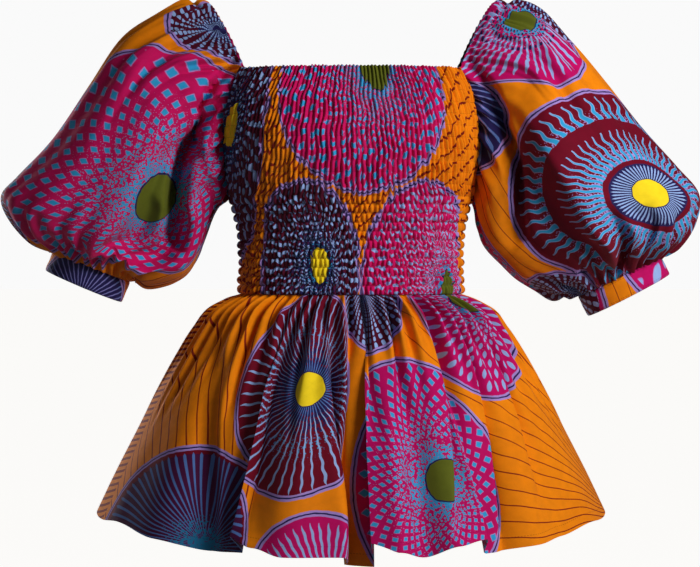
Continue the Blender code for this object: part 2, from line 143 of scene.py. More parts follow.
SLEEVE_COLUMNS = ("top_x", "top_z", "low_x", "low_z", "depth", "ruche")
LEFT_SLEEVE_SECTIONS = (
    (0.1860, 0.006, 0.1390, -0.2065, 0.071, 0.0030),
    (0.2165, -0.006, 0.1465, -0.2130, 0.078, 0.0026),
    (0.2520, -0.029, 0.1535, -0.2270, 0.088, 0.0016),
    (0.2877, -0.080, 0.1628, -0.2550, 0.098, 0.0006),
    (0.3270, -0.137, 0.1727, -0.2750, 0.103, 0.0004),
    (0.3660, -0.179, 0.1840, -0.2885, 0.104, 0.0008),
    (0.3835, -0.201, 0.2030, -0.2965, 0.098, 0.0016),
    (0.3720, -0.228, 0.2240, -0.2975, 0.083, 0.0028),
    (0.3500, -0.2465, 0.2350, -0.2880, 0.062, 0.0028),
)
RIGHT_SLEEVE_SECTIONS = (
    (0.2024, 0.002, 0.1370, -0.2140, 0.074, 0.0030),
    (0.2431, -0.033, 0.1390, -0.2340, 0.088, 0.0016),
    (0.2805, -0.076, 0.1462, -0.2550, 0.098, 0.0006),
    (0.3179, -0.123, 0.1640, -0.2750, 0.103, 0.0004),
    (0.3575, -0.168, 0.1830, -0.2915, 0.104, 0.0008),
    (0.3806, -0.198, 0.2035, -0.3014, 0.098, 0.0016),
    (0.3762, -0.230, 0.2215, -0.3090, 0.083, 0.0028),
    (0.3590, -0.251, 0.2345, -0.3055, 0.063, 0.0028),
)
RUCHE_SHARE = 0.8  # how much of the sections' ruching the cloth keeps
ARMHOLE_RISE = 0.006  # how far from the armhole the cloth lies flat

# The casing on the free edge puffs out between its two stitched lines
CASING_PUFF = 1.3  # to the gathers' height
CASING_HOLD = 0.35  # what is left of the puff on a stitched line
CASING_ROUND = 0.7  # below 1 the puff is rounder
CASING_END = 0.003  # the length that it ends in

# Gathers beside a held edge: how many to a column of the section, how far they follow the cloth's drift in
# radians, how high they stand to the ruffle's height, how much of them the edge keeps, and the lengths over
# which they rise and fade
GATHER_COLUMNS = ("per_column", "drift", "height", "held", "rise", "fade")
EDGE_GATHERS = (2.1, math.tau, 1.10, 0.0, 0.008, 0.028)
EDGE_WAVES = (2.1 / 4, 1.3, 1.20, 0.0, 0.012, 0.075)  # one for every four of those gathers
SEAM_GATHERS = (0.8, math.tau, 1.10, 0.0, 0.010, 0.045)
CUFF_GATHERS = (32 / SECTION_COLUMNS, math.pi, 1.75, 0.1, 0.009, 0.034)  # 32 of them round the cuff

# Long soft folds, and the creases and laps after them. Each runs in a line from one place across the cloth to
# another, between two shares of its length. Its width before and after the line differs, so that it can be
# steep on one side, and it is a ridge where its depth is below zero. On a sleeve the places are degrees round
# it, from the top over the front. A crease may also have a lap: how far the edge beside it slides over it.
CREASE_COLUMNS = ("from_place", "to_place", "start", "stop", "before", "after", "depth", "lap")
SLEEVE_FOLDS = (
    (105, 125, 0.06, 0.92, 13, 26, 0.026),
    (66, 84, 0.30, 0.98, 14, 18, 0.007),
    (36, 30, 0.05, 0.62, 14, 14, 0.006),
    (232, 244, 0.08, 0.90, 24, 14, 0.020),
    (285, 292, 0.25, 0.95, 18, 18, 0.008),
    (330, 326, 0.05, 0.60, 14, 14, 0.006),
)
FOLD_ENDS = 0.7  # below 1 a fold opens quickly at its two ends
SLEEVE_CREASES = (
    (97, 122, 0.30, 0.97, 5.0, 9.0, 0.0110),
    (80, 105, 0.50, 0.98, 4.0, 7.0, 0.0085),
    (71, 88, 0.56, 0.99, 3.5, 6.0, 0.0080),
    (60, 72, 0.66, 0.99, 3.5, 5.0, 0.0060),
    (42, 52, 0.58, 0.99, 4.0, 6.0, 0.0060),
    (20, 30, 0.66, 0.99, 4.0, 5.0, 0.0044),
    (34, 56, 0.02, 0.34, 4.0, 7.0, 0.0070),
    (50, 59, 0.03, 0.46, 5.0, 8.0, 0.0080),
    (16, 14, 0.02, 0.34, 4.0, 5.0, 0.0036),
    (86, 92, 0.04, 0.50, 4.0, 5.0, -0.0040),
    (158, 152, 0.56, 0.99, 6.0, 6.0, 0.0060),
    (140, 136, 0.10, 0.52, 5.0, 6.0, 0.0036),
    (196, 204, 0.62, 0.99, 5.0, 6.0, 0.0056),
    (222, 214, 0.70, 0.99, 4.0, 5.0, 0.0044),
    (250, 262, 0.54, 0.98, 7.0, 4.0, 0.0090),
    (276, 284, 0.60, 0.99, 6.0, 4.0, 0.0074),
    (300, 308, 0.66, 0.99, 5.0, 4.0, 0.0056),
    (336, 330, 0.62, 0.99, 5.0, 5.0, 0.0050),
    (252, 238, 0.03, 0.50, 8.0, 5.0, 0.0080),
    (286, 276, 0.02, 0.36, 6.0, 4.0, 0.0060),
    (312, 318, 0.03, 0.40, 5.0, 4.0, 0.0046),
    (346, 350, 0.02, 0.30, 4.0, 4.0, 0.0030),
)
# Deep laps in the same columns, drawn back instead of in: each sleeve's long crest stands before them
LAP_WAY = (0.10, 1.0, 0.0)  # towards the back, and a little outwards
LEFT_LAPS = (
    (62, 116, 0.00, 0.17, 3.5, 7.0, 0.0220),
    (92, 139, 0.02, 0.50, 3.0, 8.0, 0.0360),
    (99, 147, 0.05, 0.50, 5.0, 8.0, 0.0300),
    (137, 131, 0.34, 0.76, 4.0, 8.0, 0.0300),
    (145, 138, 0.36, 0.74, 5.0, 8.0, 0.0220),
    (117, 120, 0.40, 0.74, 8.0, 14.0, 0.0220),
)
RIGHT_LAPS = (
    (60, 118, 0.00, 0.16, 4.0, 9.0, 0.0200),
    (92, 138, 0.03, 0.44, 3.5, 12.0, 0.0340),
    (66, 124, 0.14, 0.80, 24.0, 18.0, -0.0150),
    (84, 98, 0.50, 0.97, 4.0, 8.0, 0.0200),
    (66, 78, 0.58, 0.98, 3.5, 6.0, 0.0140),
    (136, 137, 0.18, 0.82, 4.0, 16.0, 0.0110),
)

# Cuffs. Each one's lower edge swings outwards by its tilt.
CUFF_HEIGHT = 0.024
CUFF_SQUARE = 2.1
FINE_CUFF = 8  # columns of the fine surface in a column of the section
CUFF_ROWS = 17
CUFF_THICKNESS = 0.8 * CUFF_WALL  # of the two layers together
CUFF_EDGE = 0.0008  # how far the folded edges are rounded off
CUFF_EDGE_SQUARE = 8  # the higher, the nearer to the edge the rounding starts
CUFF_PUCKERS = 46  # round the stitches beside both edges
CUFF_PUCKER_SHARE = 0.25
CUFF_PUCKER_HEIGHT = 0.0006
CUFF_STITCH_INSET = 0.0025
CUFF_COLUMNS = ("x", "z", "tilt", "half_width", "half_depth")
LEFT_CUFF = dict(zip(CUFF_COLUMNS, (0.2895, -0.2878, math.radians(23), 0.045, 0.044)))
RIGHT_CUFF = dict(zip(CUFF_COLUMNS, (0.3000, -0.2980, math.radians(27.4), 0.050, 0.041)))

# Peplum
PEPLUM_GATHERS = 60  # half gathers across a panel
FINE_GATHER = 7
PEPLUM_ROWS = (34, 76)  # rows of the fine surface in the gathered top, and from there to the hem
GATHERED_DROP = 0.035
PEPLUM_CLOTH_WIDTH = 0.90
FRONT_DROP = 0.120  # the hem hangs lower at the middle than at the side seams, by this share of the drop
PEPLUM_LEVEL_COLUMNS = ("drop", "half_width", "front", "back", "square", "gather", "fold")
PEPLUM_LEVELS = (
    (0.0000, 0.1200, 0.0850, 0.0790, 2.35, 0.0005, 0.00),
    (0.0050, 0.1290, 0.0930, 0.0870, 2.30, 0.0024, 0.02),
    (0.0150, 0.1470, 0.1060, 0.1010, 2.20, 0.0034, 0.06),
    (0.0350, 0.1660, 0.1200, 0.1150, 2.15, 0.0030, 0.16),
    (0.0680, 0.1900, 0.1360, 0.1320, 2.10, 0.0022, 0.34),
    (0.1100, 0.2150, 0.1540, 0.1500, 2.05, 0.0012, 0.58),
    (0.1530, 0.2370, 0.1700, 0.1660, 2.00, 0.0006, 0.80),
    (0.1960, 0.2590, 0.1840, 0.1810, 1.95, 0.0000, 0.94),
    (0.2380, 0.2790, 0.1960, 0.1940, 1.90, 0.0000, 1.00),
)
HEM_FOLD_COLUMNS = ("x", "height", "hang")
FRONT_HEM_FOLDS = (
    (-0.279, 0.000, 0.000),
    (-0.245, 0.004, -0.009),
    (-0.200, 0.012, -0.003),
    (-0.152, -0.002, 0.004),
    (-0.128, -0.016, 0.004),
    (-0.114, 0.010, -0.016),
    (-0.098, 0.018, -0.007),
    (-0.066, 0.026, 0.000),
    (-0.016, 0.012, 0.000),
    (-0.002, -0.022, 0.012),
    (0.018, -0.024, 0.014),
    (0.028, 0.008, -0.014),
    (0.048, 0.020, -0.005),
    (0.076, 0.002, 0.003),
    (0.106, 0.020, -0.008),
    (0.130, 0.012, -0.012),
    (0.148, -0.006, 0.006),
    (0.190, 0.010, 0.002),
    (0.224, 0.000, 0.000),
    (0.252, 0.004, -0.006),
    (0.279, 0.000, 0.000),
)
BACK_HEM_FOLDS = (
    (-0.279, 0.000, 0.000),
    (-0.235, 0.010, -0.003),
    (-0.185, -0.010, 0.003),
    (-0.140, 0.018, -0.004),
    (-0.098, -0.016, 0.005),
    (-0.050, 0.022, -0.005),
    (-0.012, -0.018, 0.006),
    (0.034, 0.020, -0.004),
    (0.078, -0.018, 0.004),
    (0.122, 0.016, -0.003),
    (0.166, -0.012, 0.004),
    (0.206, 0.014, -0.004),
    (0.246, -0.004, 0.002),
    (0.279, 0.000, 0.000),
)
GATHER_RUN = 0.72  # how far down the cloth's gathers run, as a share of the solid's
GATHER_PUFF = 2.3  # how much the cloth's gathers stand out beyond the solid's
GATHER_ENDS = 1.2  # how far from a side seam the gathers rise, in half gathers
FINE_GATHER_HEIGHT = 0.0011  # of the small gathers between them
FINE_GATHER_DRIFT = 1.5
FINE_GATHER_RISE = 0.004
FINE_GATHER_FADE = 0.014
HANG_START = 3  # the higher, the nearer to the hem the folds' uneven lengths show
HEM_HEIGHT = 0.012  # of the turned-up hem, which lies double
HEM_STEP = 0.0012  # the drop over which it starts to stand out
HEM_RAISE = 0.0003
HEM_STITCH = 0.011  # from the hem's edge to its stitches

# Where a fold's edge laps over its neighbour: the place at the hem, how far it laps, and half its run
LAP_COLUMNS = ("x", "reach", "run")
FRONT_LAPS = ((-0.120, 0.009, 0.008), (-0.006, 0.006, 0.009), (0.023, 0.009, 0.007), (0.139, 0.006, 0.010))
BACK_LAPS = ((-0.118, 0.006, 0.012), (-0.030, 0.006, 0.012), (0.056, 0.005, 0.012), (0.144, 0.005, 0.012))
LAP_OPENS = (0.012, 0.085)  # the drop that it starts at, and how far it takes to open

# Creases of the peplum, in the same columns as the sleeves', with places at the hem and drops from the waist
PEPLUM_CREASES = (
    (-0.106, -0.104, 0.003, 0.235, 0.0050, 0.0160, 0.0190, 0.007),
    (-0.044, 0.002, 0.006, 0.270, 0.0050, 0.0160, 0.0220, 0.008),
    (0.140, 0.106, 0.003, 0.235, 0.0050, 0.0150, 0.0220, 0.008),
    (0.190, 0.160, 0.030, 0.262, 0.0050, 0.0140, 0.0150, 0.006),
    (0.238, 0.212, 0.024, 0.200, 0.0050, 0.0160, 0.0090, 0.005),
    (-0.206, -0.140, 0.040, 0.270, 0.0240, 0.0060, 0.0130, -0.005),
    (-0.240, -0.246, 0.003, 0.105, 0.0050, 0.0090, 0.0070, 0.003),
    (-0.222, -0.216, 0.004, 0.080, 0.0050, 0.0070, 0.0060, 0.003),
    (-0.176, -0.164, 0.006, 0.120, 0.0060, 0.0100, 0.0070, 0.003),
    (-0.082, -0.078, 0.006, 0.100, 0.0050, 0.0060, 0.0040, 0.000),
    (0.030, 0.036, 0.004, 0.140, 0.0060, 0.0100, 0.0070, 0.004),
    (0.074, 0.066, 0.004, 0.110, 0.0060, 0.0080, 0.0060, 0.003),
    (0.168, 0.150, 0.010, 0.190, 0.0120, 0.0070, -0.0050, 0.000),
    (-0.062, -0.054, 0.004, 0.190, 0.0120, 0.0070, -0.0050, 0.000),
    (-0.126, -0.120, 0.004, 0.200, 0.0120, 0.0070, -0.0050, 0.000),
    (0.204, 0.220, 0.006, 0.120, 0.0060, 0.0060, 0.0040, 0.000),
    (0.258, 0.262, 0.010, 0.140, 0.0050, 0.0060, 0.0030, 0.000),
)
LAP_RUN = 0.008  # how far to each side of a crease its lap reaches

# ---------------------------------------------------------------- the print's tables

# Discs of the print on each piece, in metres of cloth: the centre, the radius, the eye's place from the
# centre as a share of the radius, and the motif
DISC_COLUMNS = ("x", "y", "radius", "eye_x", "eye_y", "motif")
PRINT = {
    "bodice_front": (
        (0.008, 0.165, 0.136, 0.32, 0.24, "dotted_maroon"),
        (0.334, 0.316, 0.206, 0.20, -0.33, "rose_diamonds"),
        (0.224, 0.025, 0.104, 0.28, 0.08, "fine_dots"),
        (0.447, 0.010, 0.119, 0.70, -0.05, "rose_dots"),
    ),
    "bodice_back": (
        (0.060, 0.060, 0.110, 0.10, 0.20, "magenta_drops"),
        (0.190, 0.240, 0.105, 0.20, 0.10, "crimson_rays"),
        (0.350, 0.050, 0.120, -0.10, -0.20, "magenta_diamonds"),
        (0.500, 0.240, 0.125, 0.10, 0.00, "long_rays"),
        (0.590, 0.030, 0.100, 0.00, 0.20, "dotted_maroon"),
    ),
    "peplum_front": (
        (0.180, -0.015, 0.122, 0.22, 0.16, "striped_plum"),
        (0.326, 0.179, 0.123, 0.21, -0.04, "long_rays"),
        (0.372, -0.017, 0.065, 0.30, -0.60, "magenta_strokes"),
        (0.513, 0.328, 0.118, 0.00, -0.10, "fine_beads"),
        (0.582, 0.078, 0.132, 0.30, -0.04, "even_diamonds"),
        (0.750, 0.260, 0.105, 0.36, 0.20, "magenta_drops"),
    ),
    "peplum_back": (
        (0.110, 0.080, 0.120, 0.20, -0.10, "magenta_strokes"),
        (0.270, 0.240, 0.115, -0.10, 0.20, "crimson_rays"),
        (0.390, 0.020, 0.115, 0.00, -0.20, "long_rays"),
        (0.530, 0.210, 0.122, 0.20, 0.10, "magenta_diamonds"),
        (0.690, 0.050, 0.110, -0.20, 0.00, "striped_plum"),
        (0.800, 0.270, 0.100, 0.00, 0.20, "dotted_maroon"),
    ),
    "sleeve_left": (
        (0.172, 0.178, 0.172, 0.33, -0.22, "wide_diamonds"),
        (0.080, 0.400, 0.062, 0.00, -0.20, "beaded_maroon"),
        (0.270, 0.360, 0.120, 0.20, 0.20, "magenta_drops"),
        (0.420, 0.160, 0.110, 0.20, 0.10, "crimson_rays"),
        (0.560, 0.300, 0.120, -0.10, 0.20, "magenta_strokes"),
        (0.640, 0.070, 0.090, 0.00, 0.20, "long_rays"),
    ),
    "sleeve_right": (
        (0.110, 0.099, 0.156, -0.02, 0.10, "crimson_rays"),
        (0.075, 0.345, 0.082, -0.34, 0.21, "magenta_strokes"),
        (0.294, 0.356, 0.150, -0.80, 0.30, "navy_rays"),
        (0.420, 0.120, 0.120, 0.20, 0.10, "magenta_diamonds"),
        (0.560, 0.300, 0.120, -0.10, 0.20, "crimson_rays"),
        (0.660, 0.350, 0.060, 0.00, 0.20, "dotted_maroon"),
        (0.300, 0.010, 0.060, 0.00, 0.00, "beaded_maroon"),
    ),
    "cuff_left": (
        # The left cuff's first disc is a dark one, chosen where the cuff lies in shade: partly print, partly
        # painted shade
        (0.074, -0.030, 0.070, 0.00, 0.20, "navy_rays"),
        (0.230, 0.030, 0.060, 0.00, 0.20, "magenta_strokes"),
    ),
    "cuff_right": (
        (-0.060, 0.040, 0.132, 0.10, 0.30, "wide_drops"),
        (0.175, 0.030, 0.076, 0.00, 0.20, "beaded_maroon"),
    ),
}

# Fans of fine veins in the orange ground between the discs: how far across the cloth a fan reaches, where its
# veins meet, the angle between two of them and half their width, which is below 0 where the ground is plain
FAN_COLUMNS = ("until", "x", "y", "degrees", "half_width")
FANS = {
    "bodice": ((9.0, -0.100, -0.150, 1.4, 0.0012),),
    "sleeve": ((0.24, 0.360, 0.900, 1.2, -0.01), (9.0, 0.360, 0.900, 1.2, 0.0005)),
    "cuff": ((9.0, 0.100, -0.300, 2.6, 0.0004),),
    "peplum": (
        (0.050, 1.200, 0.360, 0.36, 0.0016),
        (0.300, 0.300, -0.200, 2.20, 0.0009),
        (0.600, 0.420, -1.500, 0.80, -0.0100),
        (9.000, 0.930, -0.010, 4.40, 0.0006),
    ),
}

# The outline of every disc, from the inside: how far inside its edge each line starts, and its ink
OUTLINE = ((-0.0062, "lilac"), (-0.0040, "navy"), (-0.0024, "lilac"))


def layer(start, stop, ink, **details):
    """One layer of a motif, between two shares of the way from a disc's eye to its edge.

    Without more details it is unbroken. A stippled one covers that share at its start and thins out. A wide
    one has a mark in each spoke, which fills that share of its place across. Its marks are rays, which sway
    from side to side and come to a point over the taper, or they repeat in rows. Rows are so many times as
    tall as a spoke is wide, each is staggered by so much against the last, and the marks fill the share
    `tall` of them. Such a mark is a diamond at point 1 and round at 2.
    """
    return {"start": start, "stop": stop, "ink": ink, **details}


DIAMONDS = (
    layer(0.00, 0.74, "lilac", stipple=0.66),
    layer(0.00, 0.60, "sky", stipple=0.95),
    layer(0.00, 0.44, "steel", stipple=0.50),
    layer(0.36, 0.95, "sky", border="lilac", wide=0.40, tall=0.84, rows=0.6, stagger=0.5, point=1.0),
    layer(0.00, 0.17, "olive", border="navy"),
)
DROPS = (
    layer(0.00, 0.66, "lilac", stipple=0.62),
    layer(0.00, 0.46, "sky", stipple=0.95),
    layer(0.00, 0.34, "steel", stipple=0.60),
    layer(0.26, 0.92, "mist", border="lilac", wide=0.38, tall=0.76, rows=1.0, stagger=0.5, point=1.6),
    layer(0.00, 0.16, "olive", border="navy"),
)
DOTS = (
    layer(0.00, 0.74, "navy", stipple=1.10),
    layer(0.00, 0.50, "teal", stipple=0.55),
    layer(0.00, 0.44, "sky", stipple=0.60),
    layer(0.24, 0.94, "mist", border="steel", wide=0.44, tall=0.68, rows=1.0, point=2.2),
    layer(0.00, 0.18, "yellow", border="navy"),
)
BEADS = (
    layer(0.00, 0.60, "navy", stipple=1.20),
    layer(0.10, 0.94, "mist", border="steel", wide=0.46, tall=0.74, rows=0.8, point=3.0),
)
STROKES = (
    layer(0.00, 0.70, "lilac", stipple=0.55),
    layer(0.00, 0.56, "sky", stipple=1.05),
    layer(0.20, 0.50, "navy", wide=0.50, tall=0.56, rows=1.0, stagger=0.5, point=2.0),
    layer(0.34, 0.88, "mist", border="lilac", wide=0.30, sway=0.04, taper=0.08),
    layer(0.00, 0.20, "olive", border="navy"),
)
WAVY_RAYS = (
    layer(0.00, 0.27, "navy"),
    layer(0.10, 0.26, "mist", wide=0.46, taper=0.02),
    layer(0.31, 0.58, "lilac", stipple=0.62),
    layer(0.31, 0.60, "sky", border="mist", wide=0.50, sway=0.12, taper=0.26),
    layer(0.71, 0.84, "lilac", stipple=0.48),
    layer(0.71, 0.92, "sky", border="mist", wide=0.46, sway=0.12, taper=0.20),
    layer(0.00, 0.12, "yellow", border="navy"),
)
LONG_RAYS = (
    layer(0.00, 0.62, "navy", stipple=1.20),
    layer(0.44, 0.78, "steel", stipple=0.30),
    layer(0.48, 0.74, "sky", wide=0.52, sway=0.05, taper=0.12, stipple=0.55),
    layer(0.12, 0.95, "mist", wide=0.22, sway=0.05, taper=0.06),
    layer(0.12, 0.30, "steel", wide=0.40, taper=0.10),
    layer(0.00, 0.15, "yellow", border="navy"),
)
NIGHT_RAYS = (
    layer(0.12, 0.96, "steel", wide=0.30, sway=0.02, taper=0.04),
    layer(0.30, 0.90, "lilac", wide=0.12, sway=0.02, taper=0.20),
    layer(0.00, 0.15, "yellow", border="navy"),
)
STRIPES = (
    layer(0.90, 1.10, "crimson"),
    layer(0.00, 0.92, "steel", wide=0.34, taper=0.03),
    layer(0.00, 0.40, "teal", stipple=0.85),
)
# Each motif's spokes, its ground and its layers, each painted over the last
MOTIFS = {
    "wide_diamonds": (34, "rose", DIAMONDS),
    "even_diamonds": (40, "magenta", DIAMONDS),
    "magenta_diamonds": (44, "magenta", DIAMONDS),
    "rose_diamonds": (46, "rose", DIAMONDS),
    "magenta_drops": (46, "magenta", DROPS),
    "wide_drops": (22, "magenta", DROPS),
    "rose_dots": (58, "rose", DROPS),
    "magenta_strokes": (40, "magenta", STROKES),
    "crimson_rays": (54, "crimson", WAVY_RAYS),
    "long_rays": (56, "crimson", LONG_RAYS),
    "navy_rays": (54, "navy", NIGHT_RAYS),
    "striped_plum": (66, "plum", STRIPES),
    "dotted_maroon": (40, "maroon", DOTS),
    "fine_dots": (50, "maroon", DOTS),
    "beaded_maroon": (36, "maroon", BEADS),
    "fine_beads": (58, "maroon", BEADS),
}

# Pitches in metres, and scales as places in a metre of cloth
WEAVE_PITCH = 0.0009  # two threads of the real cloth, drawn together so that they show close up
STITCH_PITCH = 0.0030
STITCH_HALF_WIDTH = 0.00035
SPECK_SCALE = 420.0  # specks of stipple 2.4 mm apart
PATCH_SCALE = 95.0  # patches of uneven ink 11 mm across
DRIFT_SCALE = 14.0  # slow drifts of the ground's ink 70 mm across
CRACKLE_SCALE = 85.0  # cracks of the wax 12 mm apart
SWAY_TURNS = 50.0  # a ray's swings between the eye and the edge, in radians
RING_WAVER = 0.022  # how unevenly the motifs' rings are drawn, as a share of the radius
EDGE_WAVER = 0.0022  # how unevenly a disc's edge is drawn
VEIN_WAVER = 0.7  # how far a vein bends, in veins
BORDER_WIDTH = 0.26  # of a mark, as a share of it
EYE_BORDER = 0.06  # of an eye, as a share of its width

# How sharp the inks' edges are: the cover that each gains over a step of 1, and a whole disc's over a metre
RING_SHARP = 300.0
EYE_SHARP = 100.0
SPECK_SHARP = 9.0
MARK_SHARP = 7.0
LINE_SHARP = 2200.0
SOFT_EDGE = {"operation": "MULTIPLY_ADD", "use_clamp": True}  # a slope through 0.5, cut off at 0 and 1
INKED = {"data_type": "RGBA"}

# The cloth's tone. A pair is a slope and where it starts.
TONE = (0.30, 0.87)  # over the patches of uneven ink
CRACKLE_EDGE = (-22.0, 0.62)
CRACKLE_TONE = -0.06
STITCH_DASH = (-12.0, 4.2)
STITCH_TONE = -0.35
STITCH_DEPTH = 2.0  # to the weave's
WEAVE_DEPTH = 0.00012
FIELDS = ("disc", "vein", "stitch")  # what the material reads at each face's corners

# The stage
FLOOR_SIZE = 120.0
FLOOR_Z = -1.35
SENSOR = 36.0  # millimetres
VIEW_WIDTH = 0.77
LENS_SHIFT = -0.060
FAR_END = 200.0
CAMERA_X = -0.0011
CAMERA_Z = -0.25


def linear(hex_colour):
    """Linear RGBA of an sRGB hex colour."""
    channels = [int(hex_colour[i : i + 2], 16) / 255 for i in (1, 3, 5)]
    return [c / 12.92 if c <= 0.04045 else ((c + 0.055) / 1.055) ** 2.4 for c in channels] + [1.0]


def column(table, names, name):
    """One named column of a table."""
    return np.array([row[names.index(name)] for row in table])


def named_rows(table, names):
    """A table's rows as dictionaries."""
    return [dict(zip(names, row)) for row in table]


def eased(where, places, values):
    """Smooth curves through the table's values: cubic, with slopes taken from the neighbours."""
    places = np.asarray(places, float)
    values = np.asarray(values, float)
    slopes = np.gradient(values, places, axis=0)
    where = np.clip(np.asarray(where, float), places[0], places[-1])
    i = np.clip(np.searchsorted(places, where, side="right") - 1, 0, len(places) - 2)
    span = places[i + 1] - places[i]
    t = (where - places[i]) / span
    shape = where.shape + (1,) * (values.ndim - 1)
    span, t = span.reshape(shape), t.reshape(shape)
    rise = smooth(t)
    return (
        values[i] * (1 - rise)
        + values[i + 1] * rise
        + slopes[i] * span * t * (1 - t) ** 2
        - slopes[i + 1] * span * t * t * (1 - t)
    )


def eased_columns(where, table, columns, names):
    """The named columns of a table, eased between its rows at places in its first column."""
    places = column(table, columns, columns[0])
    return [eased(where, places, column(table, columns, name)) for name in names]


def smooth(t):
    """0 below 0, 1 above 1, and an easy rise between them."""
    t = np.clip(t, 0, 1)
    return t * t * (3 - 2 * t)


def unit(vectors):
    """The vectors at a length of 1."""
    return vectors / np.maximum(np.linalg.norm(vectors, axis=-1, keepdims=True), TINY)


def wander(rows, columns, unevenness, random):
    """A soft uneven field over a grid: random numbers at whole places, eased between them."""
    strength, often, spread = unevenness
    rows = rows * often
    table = random.uniform(-1, 1, (int(rows.max()) + 3, int(columns.max() / spread) + 3))
    r = rows[:, None] + 0 * columns[None]
    c = columns[None] / spread + 0 * rows[:, None]
    i, j = np.floor(r).astype(int), np.floor(c).astype(int)
    down, over = smooth(r - i), smooth(c - j)
    top = table[i, j] * (1 - over) + table[i, j + 1] * over
    low = table[i + 1, j] * (1 - over) + table[i + 1, j + 1] * over
    return strength * (top * (1 - down) + low * down)


def half_outline(half_width, depth, square, end_y, count):
    """Plan points of half a rounded section, evenly spaced from its -X end round to its +X end.

    The depth is signed, and the ends stop at end_y before or behind the middle line.
    """
    first = math.asin(min((abs(end_y) / abs(depth)) ** (square / 2), 1.0))
    turn = np.linspace(first, math.pi - first, ARC_SAMPLES)
    x = -half_width * np.sign(np.cos(turn)) * np.abs(np.cos(turn)) ** (2 / square)
    y = depth * np.abs(np.sin(turn)) ** (2 / square)
    along = np.concatenate([[0], np.cumsum(np.hypot(np.diff(x), np.diff(y)))])
    even = np.linspace(0, along[-1], count)
    return np.interp(even, along, x), np.interp(even, along, y)


def grid_normals(points, wrap=False):
    """Unit normals of a grid of rows and columns, from the differences of its neighbours."""
    across = np.gradient(points, axis=1)
    if wrap:
        across = (np.roll(points, -1, axis=1) - np.roll(points, 1, axis=1)) / 2
    down = np.gradient(points, axis=0)
    return unit(np.cross(across, down))


def outwards(normals, points, centre):
    """The normals turned so that most of them point away from a line or a point inside."""
    facing = np.sum(normals * (points - centre)) > 0
    return normals if facing else -normals


def run_along(points, axis):
    """The length along each row or column of a grid, from its first point."""
    steps = np.linalg.norm(np.diff(points, axis=axis), axis=-1)
    start = np.zeros_like(np.take(steps, [0], axis=axis))
    return np.concatenate([start, np.cumsum(steps, axis=axis)], axis=axis)


def closed_round(grid):
    """A tube's grid with its first column once more at its end."""
    return np.concatenate([grid, grid[:, :1]], axis=1)


def crease_runs(places, along, creases):
    """Each crease with how open it is along the cloth and how far the places across lie from its line."""
    for crease in named_rows(creases, CREASE_COLUMNS):
        share = np.clip((along - crease["start"]) / (crease["stop"] - crease["start"]), 0, 1)[:, None]
        line = crease["from_place"] + (crease["to_place"] - crease["from_place"]) * share
        yield crease, np.sin(math.pi * share), places[None] - line


def crease_depth(places, along, creases):
    """How far creases draw the cloth in, at places across it and lengths along it."""
    drawn = np.zeros((len(along), len(places)))
    for crease, opening, away in crease_runs(places, along, creases):
        half_width = np.where(away < 0, crease["before"], crease["after"])
        drawn += crease["depth"] * opening**FOLD_ENDS * np.exp(-((away / half_width) ** 2))
    return drawn


def lapping(away):
    """How cloth is pushed away from a line, by 1 at a distance of 1 on both sides."""
    return away * np.exp((1 - away**2) / 2)


# ---------------------------------------------------------------- cloth as meshes


def quads_of(index):
    """The faces of a grid of numbers."""
    return np.stack([index[:-1, :-1], index[:-1, 1:], index[1:, 1:], index[1:, :-1]], axis=-1).reshape(-1, 4)


def strip_faces(first, first_at, second, second_at):
    """Triangles that join two chains of numbers along their shared run, whatever their counts."""
    faces = []
    i = j = 0
    while i < len(first) - 1 or j < len(second) - 1:
        step_first = j == len(second) - 1
        if i < len(first) - 1 and j < len(second) - 1:
            step_first = first_at[i + 1] <= second_at[j + 1]
        if step_first:
            faces.append((first[i], first[i + 1], second[j]))
            i += 1
        else:
            faces.append((first[i], second[j + 1], second[j]))
            j += 1
    return np.array(faces)


def print_places(corners, discs, fans):
    """Where each face's corners lie in the printed disc and the fan of veins that are nearest to the face.

    A disc's rings run from its eye, at 0, to its edge, at 1, whatever the eye's place in it.
    """
    middle = corners.mean(axis=1)
    reach = [np.linalg.norm(middle - (d["x"], d["y"]), axis=1) / d["radius"] for d in discs]
    nearest = np.argmin(reach, axis=0)
    disc = np.zeros(corners.shape[:2] + (3,))
    vein = np.zeros(corners.shape[:2] + (3,))
    for number, d in enumerate(discs):
        mine = nearest == number
        place = (corners[mine] - (d["x"], d["y"])) / d["radius"]
        eye = np.array([d["eye_x"], d["eye_y"]])
        from_eye = place - eye
        dot = from_eye @ eye
        square = np.maximum((from_eye**2).sum(axis=-1), TINY)
        grow = (np.sqrt(dot**2 + square * (1 - eye @ eye)) - dot) / square
        rim = eye + from_eye * grow[..., None]
        turn = np.arctan2(rim[..., 1], rim[..., 0]) / (2 * math.pi)
        turn = turn[:, :1] + (turn - turn[:, :1] + 0.5) % 1 - 0.5
        edge = (np.linalg.norm(place, axis=-1) - 1) * d["radius"]
        disc[mine] = np.stack([1 / grow, turn * MOTIFS[d["motif"]][0], edge], axis=-1)
    closest = np.searchsorted([f["until"] for f in fans], middle[:, 0])
    for number, f in enumerate(fans):
        mine = closest == number
        away = corners[mine] - (f["x"], f["y"])
        turn = np.arctan2(away[..., 1], away[..., 0])
        turn = turn[:, :1] + (turn - turn[:, :1] + math.pi) % (2 * math.pi) - math.pi
        step = math.radians(f["degrees"])
        vein[mine, :, 0] = turn / step
        vein[mine, :, 1] = np.linalg.norm(away, axis=-1) * step
        vein[mine, :, 2] = f["half_width"]
    return disc, vein, nearest


